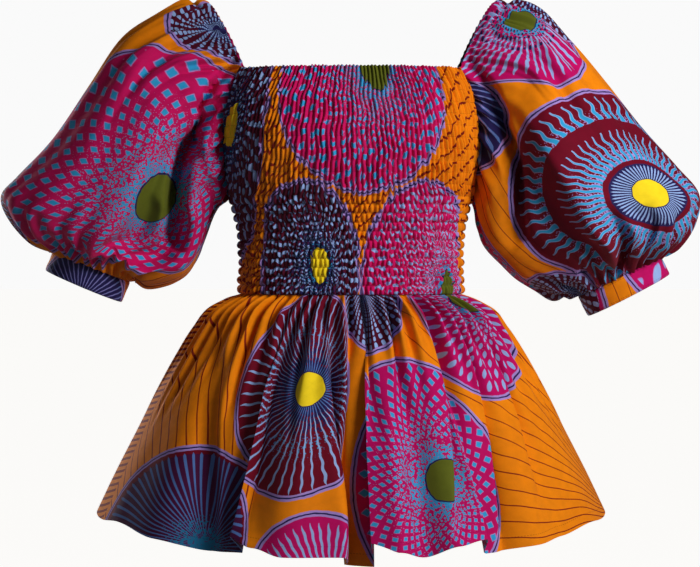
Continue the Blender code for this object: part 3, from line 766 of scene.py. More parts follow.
def closed_wall(name, outer, normals, thickness, wrap):
    """A thin closed wall on a grid of rows and columns, as a mesh, and its faces as numbers of cloth places.

    The places run over the outer grid and then over the same grid for the inside. On a tube each has one more
    column than the points, so that the cloth can end where the mesh closes.
    """
    inner = outer - normals * thickness
    tall, count = outer.shape[:2]
    wide = count + 1 if wrap else count
    rows = np.unique(np.append(np.arange(0, tall, INNER_STEP), tall - 1))
    columns = np.unique(np.append(np.arange(0, count, INNER_STEP), wide - 1))
    outside = np.arange(tall * wide).reshape(-1, wide)
    inside = outside.size + outside[np.ix_(rows, columns)]
    across, down = np.arange(wide), np.arange(tall)
    quads = np.concatenate([quads_of(outside), quads_of(inside)[:, ::-1]])
    rims = [
        strip_faces(outside[0], across, inside[0], columns)[:, ::-1],
        strip_faces(outside[-1], across, inside[-1], columns),
    ]
    if not wrap:
        rims.append(strip_faces(outside[:, 0], down, inside[:, 0], rows))
        rims.append(strip_faces(outside[:, -1], down, inside[:, -1], rows)[:, ::-1])
    rims = np.concatenate(rims)

    vertex = np.arange(tall * count).reshape(-1, count)
    if wrap:
        vertex = closed_round(vertex)
    vertex = np.concatenate([vertex.ravel(), vertex.ravel() + tall * count])
    points = np.concatenate([outer.reshape(-1, 3), inner.reshape(-1, 3)])
    first = vertex[quads_of(outside)]
    facing = np.cross(points[first[:, 2]] - points[first[:, 0]], points[first[:, 3]] - points[first[:, 1]])
    if np.sum(facing * normals.reshape(-1, 3)[first[:, 0]]) < 0:
        quads, rims = quads[:, ::-1], rims[:, ::-1]
    used = np.unique(vertex[np.concatenate([quads.ravel(), rims.ravel()])])
    renumber = np.zeros(len(points), int)
    renumber[used] = np.arange(len(used))
    faces = renumber[vertex[quads]].tolist() + renumber[vertex[rims]].tolist()
    mesh = bpy.data.meshes.new(name)
    mesh.from_pydata(points[used].tolist(), [], faces)
    mesh.shade_smooth()
    mesh.set_sharp_from_angle(angle=SMOOTH_ANGLE)
    return mesh, (quads, rims)


def cloth_object(node, outer, normals, thickness, cloth, off_stitch, fans, wrap=False):
    """A closed wall of printed cotton that stands for a node of the frame.

    cloth gives each grid point's place in the flat cloth, and off_stitch how far it lies from the nearest
    line of stitches.
    """
    name = node + "_cloth"
    mesh, groups = closed_wall(name, outer, normals, thickness, wrap)
    discs = named_rows(PRINT[node], DISC_COLUMNS)
    if wrap:
        round_arm = cloth[0, -1, 0] - cloth[0, 0, 0]
        discs = [{**d, "x": d["x"] + turn * round_arm} for turn in (-1, 0, 1) for d in discs]
    places = np.concatenate([cloth.reshape(-1, 2)] * 2)
    off_stitch = np.concatenate([np.broadcast_to(off_stitch, cloth.shape[:2]).ravel()] * 2)
    fields = {field: [] for field in FIELDS}
    chosen = []
    for group in groups:
        corners = places[group]
        disc, vein, nearest = print_places(corners, discs, named_rows(fans, FAN_COLUMNS))
        along = corners[..., 0]
        stitch = np.stack([along, off_stitch[group], 0 * along], axis=-1)
        for field, values in zip(FIELDS, (disc, vein, stitch)):
            fields[field].append(values.reshape(-1, 3))
        chosen.append(nearest)
    for field, parts in fields.items():
        attribute = mesh.attributes.new(field, "FLOAT_VECTOR", "CORNER")
        attribute.data.foreach_set("vector", np.concatenate(parts).astype(np.float32).ravel())
    flat = np.concatenate([places[group.ravel()] for group in groups])
    mesh.uv_layers.new(name="cloth").data.foreach_set("uv", flat.astype(np.float32).ravel())
    motifs = sorted({d["motif"] for d in discs})
    slots = np.array([motifs.index(d["motif"]) for d in discs])
    mesh.polygons.foreach_set("material_index", slots[np.concatenate(chosen)].astype(np.int32))
    for motif in motifs:
        mesh.materials.append(printed_cotton(motif))
    mesh.update()
    piece = bpy.data.objects.new(name, mesh)
    bpy.context.scene.collection.objects.link(piece)
    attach(piece, "root")
    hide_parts(node)
    return piece


# ---------------------------------------------------------------- the printed cotton


def add_node(tree, kind, *inputs, **settings):
    """Adds a node with its settings and fills its sockets in order, with numbers, colours or other nodes.

    The kind may name an operation after the node's type. The setting "sockets" fills sockets by their names.
    """
    kind, *operation = kind.split()
    node = tree.nodes.new("ShaderNode" + kind)
    if operation:
        node.operation = operation[0]
    named = settings.pop("sockets", {})
    for setting, value in settings.items():
        setattr(node, setting, value)
    live = [socket for socket in node.inputs if socket.enabled]
    for key, value in list(enumerate(inputs)) + list(named.items()):
        socket = live[key] if isinstance(key, int) else node.inputs[key]
        if isinstance(value, bpy.types.Node):
            value = next(output for output in value.outputs if output.enabled)
        if isinstance(value, bpy.types.NodeSocket):
            tree.links.new(value, socket)
        else:
            socket.default_value = value
    return node


def spare_cloth(put, marks, spokes, spoke, swing, octaves, left):
    """How much of its own place each point of a layer's marks has to spare, below 0 between the marks."""
    if marks.get("sway"):
        spoke = put("Math MULTIPLY_ADD", swing, marks["sway"], spoke)
    if "rows" in marks:
        rows = put("Math MULTIPLY", octaves, spokes / (2 * math.pi * marks["rows"]))
        order = put("Math FLOOR", put("Math ADD", rows, 0.5))
        spoke = put("Math MULTIPLY_ADD", order, marks.get("stagger", 0.0), spoke)
    across = put("Math MULTIPLY", put("Math PINGPONG", spoke, 0.5), 2 / marks["wide"])
    if "rows" in marks:
        along = put("Math MULTIPLY", put("Math PINGPONG", rows, 0.5), 2 / marks["tall"])
        across, along = (put("Math POWER", way, marks["point"]) for way in (across, along))
        return put("Math SUBTRACT", 1.0, put("Math ADD", across, along))
    end = put("Math MULTIPLY", left, (marks["stop"] - marks["start"]) / marks["taper"])
    return put("Math SUBTRACT", put("Math MINIMUM", end, 1.0), across)


def painted_motif(put, motif, inks, cloth, share, spoke):
    """The disc's colour: its layers of ink, each over the last, between its eye at 0 and its edge at 1."""
    spokes, ground, layers = MOTIFS[motif]
    colour = inks[ground]
    specks = put("TexVoronoi", cloth, sockets={"Scale": SPECK_SCALE})
    swing = put("Math SINE", put("Math MULTIPLY", share, SWAY_TURNS))
    octaves = put("Math LOGARITHM", share, math.e)  # even steps of it grow with the distance from the eye
    for inking in layers:
        length = inking["stop"] - inking["start"]
        left = put("Math MULTIPLY", put("Math SUBTRACT", inking["stop"], share), 1 / length)
        started = put("Math", put("Math ADD", share, -inking["start"]), RING_SHARP, 0.5, **SOFT_EDGE)
        ring = put("Math MULTIPLY", started, put("Math", left, RING_SHARP * length, 0.5, **SOFT_EDGE))
        cover = ring
        if "stipple" in inking:
            dots = put("Math SUBTRACT", put("Math MULTIPLY", left, inking["stipple"]), specks)
            cover = put("Math MULTIPLY", cover, put("Math", dots, SPECK_SHARP, 0.5, **SOFT_EDGE))
        if "wide" in inking:
            spare = spare_cloth(put, inking, spokes, spoke, swing, octaves, left)
            cover = put("Math MULTIPLY", cover, put("Math", spare, MARK_SHARP, 0.5, **SOFT_EDGE))
        if "border" in inking and "wide" in inking:
            wider = put("Math", put("Math ADD", spare, BORDER_WIDTH), MARK_SHARP, 0.5, **SOFT_EDGE)
            border = put("Math MULTIPLY", ring, wider)
            colour = put("Mix", border, colour, inks[inking["border"]], **INKED)
        elif "border" in inking:
            border = put("Math", put("Math ADD", left, EYE_BORDER), EYE_SHARP, 0.5, **SOFT_EDGE)
            colour = put("Mix", border, colour, inks[inking["border"]], **INKED)
        colour = put("Mix", cover, colour, inks[inking["ink"]], **INKED)
    return colour


def printed_cotton(motif):
    """Plain-woven cotton, resist printed with wax on both faces: matt, a faint sheen, crackled inks."""
    name = "wax_printed_cotton_" + motif
    if name in bpy.data.materials:
        return bpy.data.materials[name]
    material = bpy.data.materials.new(name)
    material.use_nodes = True
    tree = material.node_tree
    shader = tree.nodes["Principled BSDF"]
    put = partial(add_node, tree)
    chosen_inks = bpy.context.scene.peplum_top_inks
    inks = {ink: (*getattr(chosen_inks, ink), 1.0) for ink in PeplumTopInks.__annotations__}
    cloth = put("UVMap", uv_map="cloth")
    disc, vein, stitch = (
        put("SeparateXYZ", put("Attribute", attribute_name=field).outputs["Vector"]) for field in FIELDS
    )
    patches = put("TexNoise", cloth, sockets={"Scale": PATCH_SCALE, "Detail": 2.0})
    drift = put("TexNoise", cloth, sockets={"Scale": DRIFT_SCALE, "Detail": 2.0})
    waver = put("Math ADD", patches.outputs[0], -0.5)
    share = put("Math MULTIPLY_ADD", waver, RING_WAVER, disc.outputs["X"])
    edge = put("Math MULTIPLY_ADD", waver, EDGE_WAVER, disc.outputs["Z"])
    colour = painted_motif(put, motif, inks, cloth, share, disc.outputs["Y"])
    for inset, ink in OUTLINE:
        line = put("Math", put("Math ADD", edge, -inset), LINE_SHARP, 0.5, **SOFT_EDGE)
        colour = put("Mix", line, colour, inks[ink], **INKED)

    # Veined orange ground between the discs
    ground = put("Mix", drift.outputs[0], inks["orange"], inks["deep_orange"], **INKED)
    line = put("Math MULTIPLY_ADD", drift.outputs[0], VEIN_WAVER, vein.outputs["X"])
    off_line = put("Math MULTIPLY", put("Math PINGPONG", line, 0.5), vein.outputs["Y"])
    spare = put("Math SUBTRACT", vein.outputs["Z"], off_line)
    ground = put("Mix", put("Math", spare, LINE_SHARP, 0.5, **SOFT_EDGE), ground, inks["vein"], **INKED)
    colour = put("Mix", put("Math", edge, LINE_SHARP, 0.5, **SOFT_EDGE), colour, ground, **INKED)

    # Dark cracks where the wax broke, threads that took the ink unevenly, and dashes for the stitches
    crackle = put("TexVoronoi", cloth, feature="DISTANCE_TO_EDGE", sockets={"Scale": CRACKLE_SCALE})
    crackle = put("Math", crackle, *CRACKLE_EDGE, **SOFT_EDGE)
    tone = put("Math MULTIPLY_ADD", patches.outputs[0], *TONE)
    tone = put("Math MULTIPLY_ADD", crackle, CRACKLE_TONE, tone)
    dash = put("Math PINGPONG", put("Math MULTIPLY", stitch.outputs["X"], 1 / STITCH_PITCH), 0.5)
    dash = put("Math", dash, *STITCH_DASH, **SOFT_EDGE)
    on_line = put("Math", put("Math ABSOLUTE", stitch.outputs["Y"]), -1 / STITCH_HALF_WIDTH, 1.5, **SOFT_EDGE)
    sewn = put("Math MULTIPLY", dash, on_line)
    tone = put("Math MULTIPLY_ADD", sewn, STITCH_TONE, tone)
    colour = put("HueSaturation", sockets={"Value": tone, "Color": colour})
    tree.links.new(colour.outputs[0], shader.inputs["Base Color"])

    # The weave and the sunken stitches
    threads = put("SeparateXYZ", cloth)
    pitch = math.tau / WEAVE_PITCH
    warp, weft = (put("Math SINE", put("Math MULTIPLY", threads.outputs[way], pitch)) for way in "XY")
    relief = put("Math MULTIPLY_ADD", sewn, -STITCH_DEPTH, put("Math MULTIPLY", warp, weft))
    bump = put("Bump", sockets={"Strength": 0.35, "Distance": WEAVE_DEPTH, "Height": relief})
    tree.links.new(bump.outputs[0], shader.inputs["Normal"])
    shader.inputs["Roughness"].default_value = 0.78
    shader.inputs["Specular IOR Level"].default_value = 0.10
    shader.inputs["Sheen Weight"].default_value = 0.02
    shader.inputs["Sheen Roughness"].default_value = 0.45
    return material


# ---------------------------------------------------------------- bodice


def armhole_y(z):
    """How far the armhole's edge lies before or behind the side seam at a height."""
    share = max((z - UNDERARM_Z) / (NECK_Z - UNDERARM_Z), 0.0)
    return NECK_CORNER_Y * share**ARMHOLE_ROUND


def bodice_sizes(heights, side):
    """Half the bodice's width, its depth on one side and how square its section is, at some heights."""
    names = ("half_width", "front" if side < 0 else "back", "square")
    return eased_columns(heights, BODICE_LEVELS, BODICE_COLUMNS, names)


def bodice_form(side):
    """The fine grid under a bodice panel's pleats, and its normals. The front is side -1, the back side 1."""
    waist = np.linspace(WAIST_Z, UNDERARM_Z, WAIST_ROWS * FINE_ROW + 1)
    bust = np.linspace(UNDERARM_Z, NECK_Z, BUST_ROWS * FINE_ROW + 1)
    heights = np.concatenate([waist, bust[1:]])
    rings = []
    for z, width, depth, square in zip(heights, *bodice_sizes(heights, side)):
        x, y = half_outline(width, side * depth, square, armhole_y(z), PLEATS * FINE_PLEAT + 1)
        rings.append(np.stack([x, y, np.full_like(x, z)], axis=1))
    points = np.array(rings)
    normals = outwards(grid_normals(points), points, points * (0, 0, 1))
    seam = points[:, 0, 2] <= UNDERARM_Z + ROUNDING
    for end in (0, -1):
        normals[seam, end, 1] = 0
        points[seam, end, 1] = side * SEAM_GAP / 2
    return points, unit(normals)


def smocking(height, random):
    """Pleats drawn in by the elastic rows: how far each point stands out, and its place in the flat cloth.

    At the waist the pleats start anew in every row, half a pleat along. Over the bust they run on and sway.
    """
    rows = np.arange((WAIST_ROWS + BUST_ROWS) * FINE_ROW + 1) / FINE_ROW
    pleats = np.arange(PLEATS * FINE_PLEAT + 1) / FINE_PLEAT
    at_waist = rows < WAIST_ROWS
    at_neck = rows > WAIST_ROWS + BUST_ROWS - 0.5
    order = np.arange(WAIST_ROWS + BUST_ROWS + 2)
    starts = np.where(order < WAIST_ROWS, 0.5 * (order % 2), PLEAT_SWAY * np.sin(order * PLEAT_SWAY_TURN))
    between = rows - 0.5
    lower = np.floor(between).astype(int)
    changed = smooth((between - lower - 0.5) / PLEAT_CHANGE + 0.5)
    shift = starts[lower.clip(0)] * (1 - changed) + starts[lower + 1] * changed
    place = pleats[None] - shift[:, None] - wander(rows, pleats, PLEAT_LEAN, random)
    crest = np.abs(np.sin(math.pi * place)) ** PLEAT_ROUND
    off_elastic = np.abs(np.sin(math.pi * rows))
    held = np.where(at_waist, *HELD_PUFF)
    puff = (held + (1 - held) * off_elastic**PUFF_ROUND)[:, None]
    puff[at_neck] = NECK_PUFF
    uneven = 1 + wander(rows, pleats, PLEAT_HEIGHT, random)
    ends = smooth(np.minimum(pleats, PLEATS - pleats) / PLEAT_ENDS)[None]
    groove = np.where(at_waist, *GROOVES) * (1 - np.sqrt(off_elastic)) * (rows > 0.5) * ~at_neck
    standing = height * (crest * puff * uneven - groove[:, None]) * ends
    hidden = HIDDEN_CLOTH * np.sin(2 * math.pi * (place - 0.5)) / (2 * math.pi)
    across = pleats[None] - (hidden + wander(rows, pleats, PLEAT_JUMBLE, random)) * ends
    along = wander(rows, pleats, PLEAT_SLIP, random) * ends
    return standing, across, along


def bodice_panel(side, node, sizes, random):
    """A panel of cloth with its shirring, from the waist seam to the neckline."""
    points, normals = bodice_form(side)
    standing, across, along = smocking(sizes.smocking_height, random)
    outer = points + normals * standing[..., None]
    width = sizes.bodice_cloth_width
    down = run_along(points, 0)
    cloth = np.stack([across * width / PLEATS, down + along], axis=-1)
    elastic = down[::FINE_ROW]
    off_stitch = np.abs(down[:, None] - elastic[None, :-1]).min(axis=1)
    piece = cloth_object(node, outer, normals, sizes.cloth, cloth, off_stitch, FANS["bodice"])
    return piece


# ---------------------------------------------------------------- sleeves


def sleeve_turns():
    """The fine grid's columns round a sleeve, counted in the section's columns. A last one closes it."""
    free, whole = FREE_EDGE_COLUMNS, SECTION_COLUMNS
    front = np.linspace(0, free, free * FINE_FREE_EDGE, endpoint=False)
    hole = np.linspace(free, whole - free, (whole - 2 * free) * FINE_ARMHOLE, endpoint=False)
    back = np.linspace(whole - free, whole, free * FINE_FREE_EDGE + 1)
    return np.concatenate([front, hole, back])


def armhole_edge(side, heights):
    """The bodice's armhole points at some heights on +X, and their normals."""
    width, depth, square = bodice_sizes(heights, side)
    y = np.array([armhole_y(z) for z in heights])
    x = width * (1 - (y / depth) ** square) ** (1 / square)
    out_x, out_y = (x / width) ** (square - 1) / width, (y / depth) ** (square - 1) / depth
    normals = np.stack([out_x, side * out_y, 0 * x], axis=1)
    return np.stack([x, side * y, heights], axis=1), unit(normals)


def sleeve_start(turns):
    """The sleeve's first ring, over the shoulder and down the armhole, and the bodice's normals there."""
    free, whole = FREE_EDGE_COLUMNS, SECTION_COLUMNS
    ring = np.zeros((len(turns), 3))
    facing = np.full((len(turns), 3), np.nan)
    share = np.minimum(turns, whole - turns) / free
    hole = share >= 1 - ROUNDING
    heights = NECK_Z + (UNDERARM_Z - NECK_Z) * (share - 1) * free / (whole / 2 - free)
    edge = np.zeros((len(turns), 3))
    for side in (-1, 1):
        mine = (turns > whole / 2) == (side > 0)
        corner = armhole_edge(side, np.array([NECK_Z]))[0][0]
        over = mine & (share < 1)
        bend, lean = np.cos(share[over] * math.pi / 2), np.sin(share[over] * math.pi / 2)
        x = corner[0] + (SHOULDER_X - corner[0]) * bend - FREE_EDGE_BOW * np.sin(math.pi * share[over])
        ring[over] = np.stack([x, corner[1] * lean, corner[2] + (SHOULDER_Z - corner[2]) * bend], axis=1)
        edge[mine & hole], facing[mine & hole] = armhole_edge(side, heights[mine & hole])
    away = unit(np.cross(unit(np.gradient(edge[hole], axis=0)), facing[hole]))
    ring[hole] = edge[hole] + away * np.sign(away[:, 2:3] + away[:, :1]) * SEAM_GAP
    return ring, facing


def loop_section(top, low, depth, square, turns):
    """A closed section from its top point over the front to its low point and back over the rear."""
    turn = np.linspace(0, 2 * math.pi, 2 * ARC_SAMPLES + 1)
    middle, half = (top + low) / 2, (top - low) / 2
    reach = np.sign(np.cos(turn)) * np.abs(np.cos(turn)) ** (2 / square)
    bulge = np.abs(np.sin(turn)) ** (2 / square) * np.where(turn < math.pi, -depth, depth)
    path = np.stack([middle[0] + half[0] * reach, bulge, middle[1] + half[1] * reach], axis=1)
    along = np.concatenate([[0], np.cumsum(np.linalg.norm(np.diff(path, axis=0), axis=1))])
    half_way = along[ARC_SAMPLES]
    share = turns / (SECTION_COLUMNS / 2)
    even = np.where(share <= 1, half_way * share, half_way + (along[-1] - half_way) * (share - 1))
    return np.stack([np.interp(even, along, path[:, k]) for k in range(3)], axis=1)


def cuff_frame(size):
    """The cuff's middle, and its directions along the arm and towards its outer side, in the XZ plane."""
    along = np.array([math.sin(size["tilt"]), -math.cos(size["tilt"])])
    out = np.array([math.cos(size["tilt"]), math.sin(size["tilt"])])
    return np.array([size["x"], size["z"]]), along, out


def across_cuff(normals, size):
    """The normals turned square to the cuff's axis, so that the edge they widen stays flat."""
    _, along, _ = cuff_frame(size)
    axis = np.array([along[0], 0, along[1]])
    return unit(normals - (normals @ axis)[:, None] * axis)


def cuff_ring(size, step, turns):
    """The cuff's section, a step down the arm from its middle."""
    middle, along, out = cuff_frame(size)
    middle = middle + along * step
    top, low = middle + out * size["half_width"], middle - out * size["half_width"]
    return loop_section(top, low, size["half_depth"], CUFF_SQUARE, turns)


def gather_wave(row, turns, drift):
    """The wave round the sleeve that one row of gathers makes."""
    return np.cos(math.tau * row["per_column"] * turns[None] + row["drift"] * drift)


def gathers(row, turns, drift, away):
    """Waves of cloth beside a held edge, at distances away from it."""
    risen = row["held"] + (1 - row["held"]) * smooth(away / row["rise"])
    return row["height"] * gather_wave(row, turns, drift) * risen * np.exp(-np.maximum(away, 0) / row["fade"])


def sleeve_gathers(steps, turns, from_edge, ruches, sizes, random):
    """How far the gathers stand out all over a sleeve, and where they're free of the armhole.

    The free edge is a casing with elastic in it, and the cloth fans out of it and of the seams in gathers.
    """
    edge, waves, seam, cuff_gathers = named_rows(
        (EDGE_GATHERS, EDGE_WAVES, SEAM_GATHERS, CUFF_GATHERS), GATHER_COLUMNS
    )
    past_casing = from_edge - sizes.casing
    free = smooth(FREE_EDGE_COLUMNS + 0.5 - np.minimum(turns, SECTION_COLUMNS - turns))[None]
    uneven = 1 + wander(steps, turns, SLEEVE_STRENGTH, random)
    drift = wander(steps, turns, SLEEVE_DRIFT, random)
    round_casing = np.sin(math.pi * np.clip(from_edge / sizes.casing, 0, 1)) ** CASING_ROUND
    puff = CASING_PUFF * (CASING_HOLD + (1 - CASING_HOLD) * round_casing)
    height = puff * (1 - smooth(past_casing / CASING_END)) * gather_wave(edge, turns, drift)
    height = height + gathers(edge, turns, drift, past_casing) + gathers(waves, turns, drift, past_casing)
    height = free * height + (1 - free) * gathers(seam, turns, drift, from_edge)
    height = height + gathers(cuff_gathers, turns, drift, from_edge[-1] - from_edge)
    ruching = RUCHE_SHARE * np.cos(math.pi * turns[None]) * ruches[:, None]
    return (sizes.ruffle * height + ruching) * uneven, free


def sleeve(side, sections, laps, cuff_size, node, sizes, random):
    """One sleeve, from the shoulder and armhole to the cuff."""
    closed = sleeve_turns()
    turns = closed[:-1]
    start, facing = sleeve_start(turns)
    rings = [start]
    for section in named_rows(sections, SLEEVE_COLUMNS):
        top = np.array([section["top_x"], section["top_z"]])
        low = np.array([section["low_x"], section["low_z"]])
        rings.append(loop_section(top, low, section["depth"], SLEEVE_SQUARE, turns))
    rings.append(cuff_ring(cuff_size, -CUFF_HEIGHT / 2 - SEAM_GAP, turns))
    order = np.arange(len(rings))
    last = order[-1]
    first_rows, middle_rows, last_rows = SLEEVE_ROWS
    first_steps = np.linspace(0, 1, first_rows, endpoint=False)
    middle_steps = np.linspace(1, last - 1, middle_rows, endpoint=False)
    steps = np.concatenate([first_steps, middle_steps, np.linspace(last - 1, last, last_rows)])
    base = eased(steps, order, np.array(rings))
    centre = base.mean(axis=1, keepdims=True)
    normals = outwards(grid_normals(base, wrap=True), base, centre)
    normals[-1] = across_cuff(normals[-1], cuff_size)

    from_edge = run_along(base, 0)
    to_cuff = from_edge[-1] - from_edge
    ruches = eased(steps, order, np.array([0.0, *column(sections, SLEEVE_COLUMNS, "ruche"), 0.0]))
    height, free = sleeve_gathers(steps, turns, from_edge, ruches, sizes, random)
    hole = ~np.isnan(facing[:, 0])
    height *= 1 - hole[None] * (1 - smooth(from_edge / ARMHOLE_RISE))
    degrees = turns * 360 / SECTION_COLUMNS
    drawn = crease_depth(degrees, steps / last, SLEEVE_FOLDS + SLEEVE_CREASES)
    points = base + normals * (height - drawn)[..., None]
    points += crease_depth(degrees, steps / last, laps)[..., None] * LAP_WAY
    normals = outwards(grid_normals(points, wrap=True), points, centre)
    normals[0, hole] = facing[hole]
    normals[-1] = across_cuff(normals[-1], cuff_size)

    up = closed_round(to_cuff)
    cloth = np.stack([np.broadcast_to(closed / SECTION_COLUMNS * SLEEVE_CLOTH_WIDTH, up.shape), up], axis=-1)
    off_edge = np.where(free > 0.5, from_edge - sizes.casing, from_edge - STITCH_INSET)
    off_stitch = closed_round(np.where(np.abs(off_edge) < to_cuff, off_edge, to_cuff - STITCH_INSET))
    points, normals = points * (side, 1, 1), normals * (side, 1, 1)
    piece = cloth_object(node, points, normals, sizes.cloth, cloth, off_stitch, FANS["sleeve"], wrap=True)
    return piece


def cuff(side, size, node, random):
    """A straight band folded double, open at both ends."""
    closed = np.linspace(0, SECTION_COLUMNS, SECTION_COLUMNS * FINE_CUFF + 1)
    turns = closed[:-1]
    across = np.linspace(-1, 1, CUFF_ROWS)
    rings = np.array([cuff_ring(size, step * CUFF_HEIGHT / 2, turns) for step in across])
    spread = unit(rings - rings.mean(axis=1, keepdims=True))
    rounded = np.sqrt(np.clip(1 - across**CUFF_EDGE_SQUARE, 0, 1)) - 1
    ripple = np.cos(2 * math.pi * turns[None] * CUFF_PUCKERS / SECTION_COLUMNS)
    pucker = CUFF_PUCKER_SHARE * ripple * across[:, None] ** 2
    pucker += wander(across + 1, turns, CUFF_WAVER, random)
    swell = (CUFF_WALL - CLOTH_WALL) / 2 + rounded[:, None] * CUFF_EDGE + CUFF_PUCKER_HEIGHT * pucker
    outer = rings + spread * swell[..., None]
    width = 2 * math.pi * (size["half_width"] + size["half_depth"]) / 2
    up = (1 - across)[:, None] * CUFF_HEIGHT / 2 + 0 * closed[None]
    cloth = np.stack([np.broadcast_to(closed / SECTION_COLUMNS * width, up.shape), up], axis=-1)
    off_stitch = CUFF_HEIGHT / 2 - CUFF_STITCH_INSET - np.abs(up - CUFF_HEIGHT / 2)
    outer, spread = outer * (side, 1, 1), spread * (side, 1, 1)
    piece = cloth_object(node, outer, spread, CUFF_THICKNESS, cloth, off_stitch, FANS["cuff"], wrap=True)
    return piece


# ---------------------------------------------------------------- peplum


def along_hem(x_at_hem, folds, name):
    """A column of the hem's folds at each place, eased from one crest or trough to the next."""
    places = column(folds, HEM_FOLD_COLUMNS, "x")
    heights = column(folds, HEM_FOLD_COLUMNS, name)
    i = np.clip(np.searchsorted(places, x_at_hem, side="right") - 1, 0, len(places) - 2)
    share = np.clip((x_at_hem - places[i]) / (places[i + 1] - places[i]), 0, 1)
    return heights[i] + (heights[i + 1] - heights[i]) * (1 - np.cos(math.pi * share)) / 2


def peplum_gathers(drops, gathers_across, random):
    """How far the gathers and the turned-up hem stand out from the panel."""
    drop = drops[:, None]
    across = gathers_across[None]
    strength = 1 + wander(drops, gathers_across, GATHER_STRENGTH, random)[:1]
    length = 1 + wander(drops, gathers_across, GATHER_LENGTH, random)[:1]
    drift = wander(drops, gathers_across, GATHER_DRIFT, random)
    wave = -np.cos(math.pi * (across + drift))
    standing = eased_columns(drop / (GATHER_RUN * length), PEPLUM_LEVELS, PEPLUM_LEVEL_COLUMNS, ["gather"])[0]
    ends = smooth(np.minimum(across, PEPLUM_GATHERS - across) / GATHER_ENDS)
    fine = FINE_GATHER_HEIGHT * np.cos(2 * math.pi * (across + FINE_GATHER_DRIFT * drift))
    fine *= smooth(drop / FINE_GATHER_RISE) * np.exp(-drop / FINE_GATHER_FADE)
    in_hem = smooth((drop - (drops[-1] - HEM_HEIGHT)) / HEM_STEP)
    hem = HEM_RAISE * (1 + wander(drops, gathers_across, HEM_PUCKER, random)) * in_hem
    return (GATHER_PUFF * standing * strength * wave + fine + hem) * ends


def peplum_panel(side, node, folds, laps, sizes, random):
    """A skirt panel: tight gathers under the waist seam that run into long folds at the hem."""
    gathers_across = np.arange(PEPLUM_GATHERS * FINE_GATHER + 1) / FINE_GATHER
    hem_drop = PEPLUM_LEVELS[-1][0]
    top_rows, low_rows = PEPLUM_ROWS
    gathered = np.linspace(0, GATHERED_DROP, top_rows, endpoint=False)
    drops = np.concatenate([gathered, np.linspace(GATHERED_DROP, hem_drop, low_rows)])
    names = ("half_width", "front" if side < 0 else "back", "square", "fold")
    widths, depths, squares, fold = eased_columns(drops, PEPLUM_LEVELS, PEPLUM_LEVEL_COLUMNS, names)
    rings = []
    for drop, width, depth, square in zip(drops, widths, depths, squares):
        x, y = half_outline(width, side * depth, square, 0, len(gathers_across))
        z = WAIST_Z - SEAM_GAP - drop * (1 + FRONT_DROP * np.abs(y) / depth)
        rings.append(np.stack([x, y, z], axis=1))
    base = np.array(rings)
    plan = unit(outwards(grid_normals(base), base, base * (0, 0, 1)) * (1, 1, 0))
    plan[:, [0, -1], 1] = 0
    plan = unit(plan)
    hem_x = base[-1, :, 0]
    height = peplum_gathers(drops, gathers_across, random) + fold[:, None] * along_hem(hem_x, folds, "height")
    height -= crease_depth(-side * hem_x, drops, PEPLUM_CREASES)
    points = base + plan * height[..., None]
    points[..., 2] -= (drops[:, None] / hem_drop) ** HANG_START * along_hem(hem_x, folds, "hang")

    # The crests lap over the troughs beside them
    slide = np.zeros(height.shape)
    for crease, opening, away in crease_runs(-side * hem_x, drops, PEPLUM_CREASES):
        slide += side * crease["lap"] * opening * (widths / widths[-1])[:, None] * lapping(away / LAP_RUN)
    opens_at, opens_over = LAP_OPENS
    open_up = smooth((drops - opens_at) / opens_over)[:, None]
    for lap in named_rows(laps, LAP_COLUMNS):
        slide -= lap["reach"] * lapping((hem_x[None] - lap["x"]) / lap["run"]) * open_up
    points += unit(np.gradient(base, axis=1) * (1, 1, 0)) * slide[..., None]
    normals = outwards(grid_normals(points), points, points * (0, 0, 1))
    normals[0] = unit(normals[0] * (1, 1, 0))
    normals[:, [0, -1], 1] = 0
    normals = unit(normals)
    points[:, [0, -1], 1] = side * SEAM_GAP / 2

    across = run_along(points, 1)[-1]
    across = across / across[-1] * PEPLUM_CLOTH_WIDTH
    down = run_along(base, 0).mean(axis=1)
    cloth = np.stack(np.broadcast_arrays(across[None], (down[-1] - down)[:, None]), axis=-1)
    off_stitch = cloth[..., 1] - HEM_STITCH
    piece = cloth_object(node, points, normals, sizes.cloth, cloth, off_stitch, FANS["peplum"])
    return piece


# ---------------------------------------------------------------- add-on


def ink_colour(name, colour, use):
    """A colour of the print that a user can change."""
    return FloatVectorProperty(
        name=name, description=use, default=linear(colour)[:3], size=3, min=0.0, max=1.0, subtype="COLOR"
    )


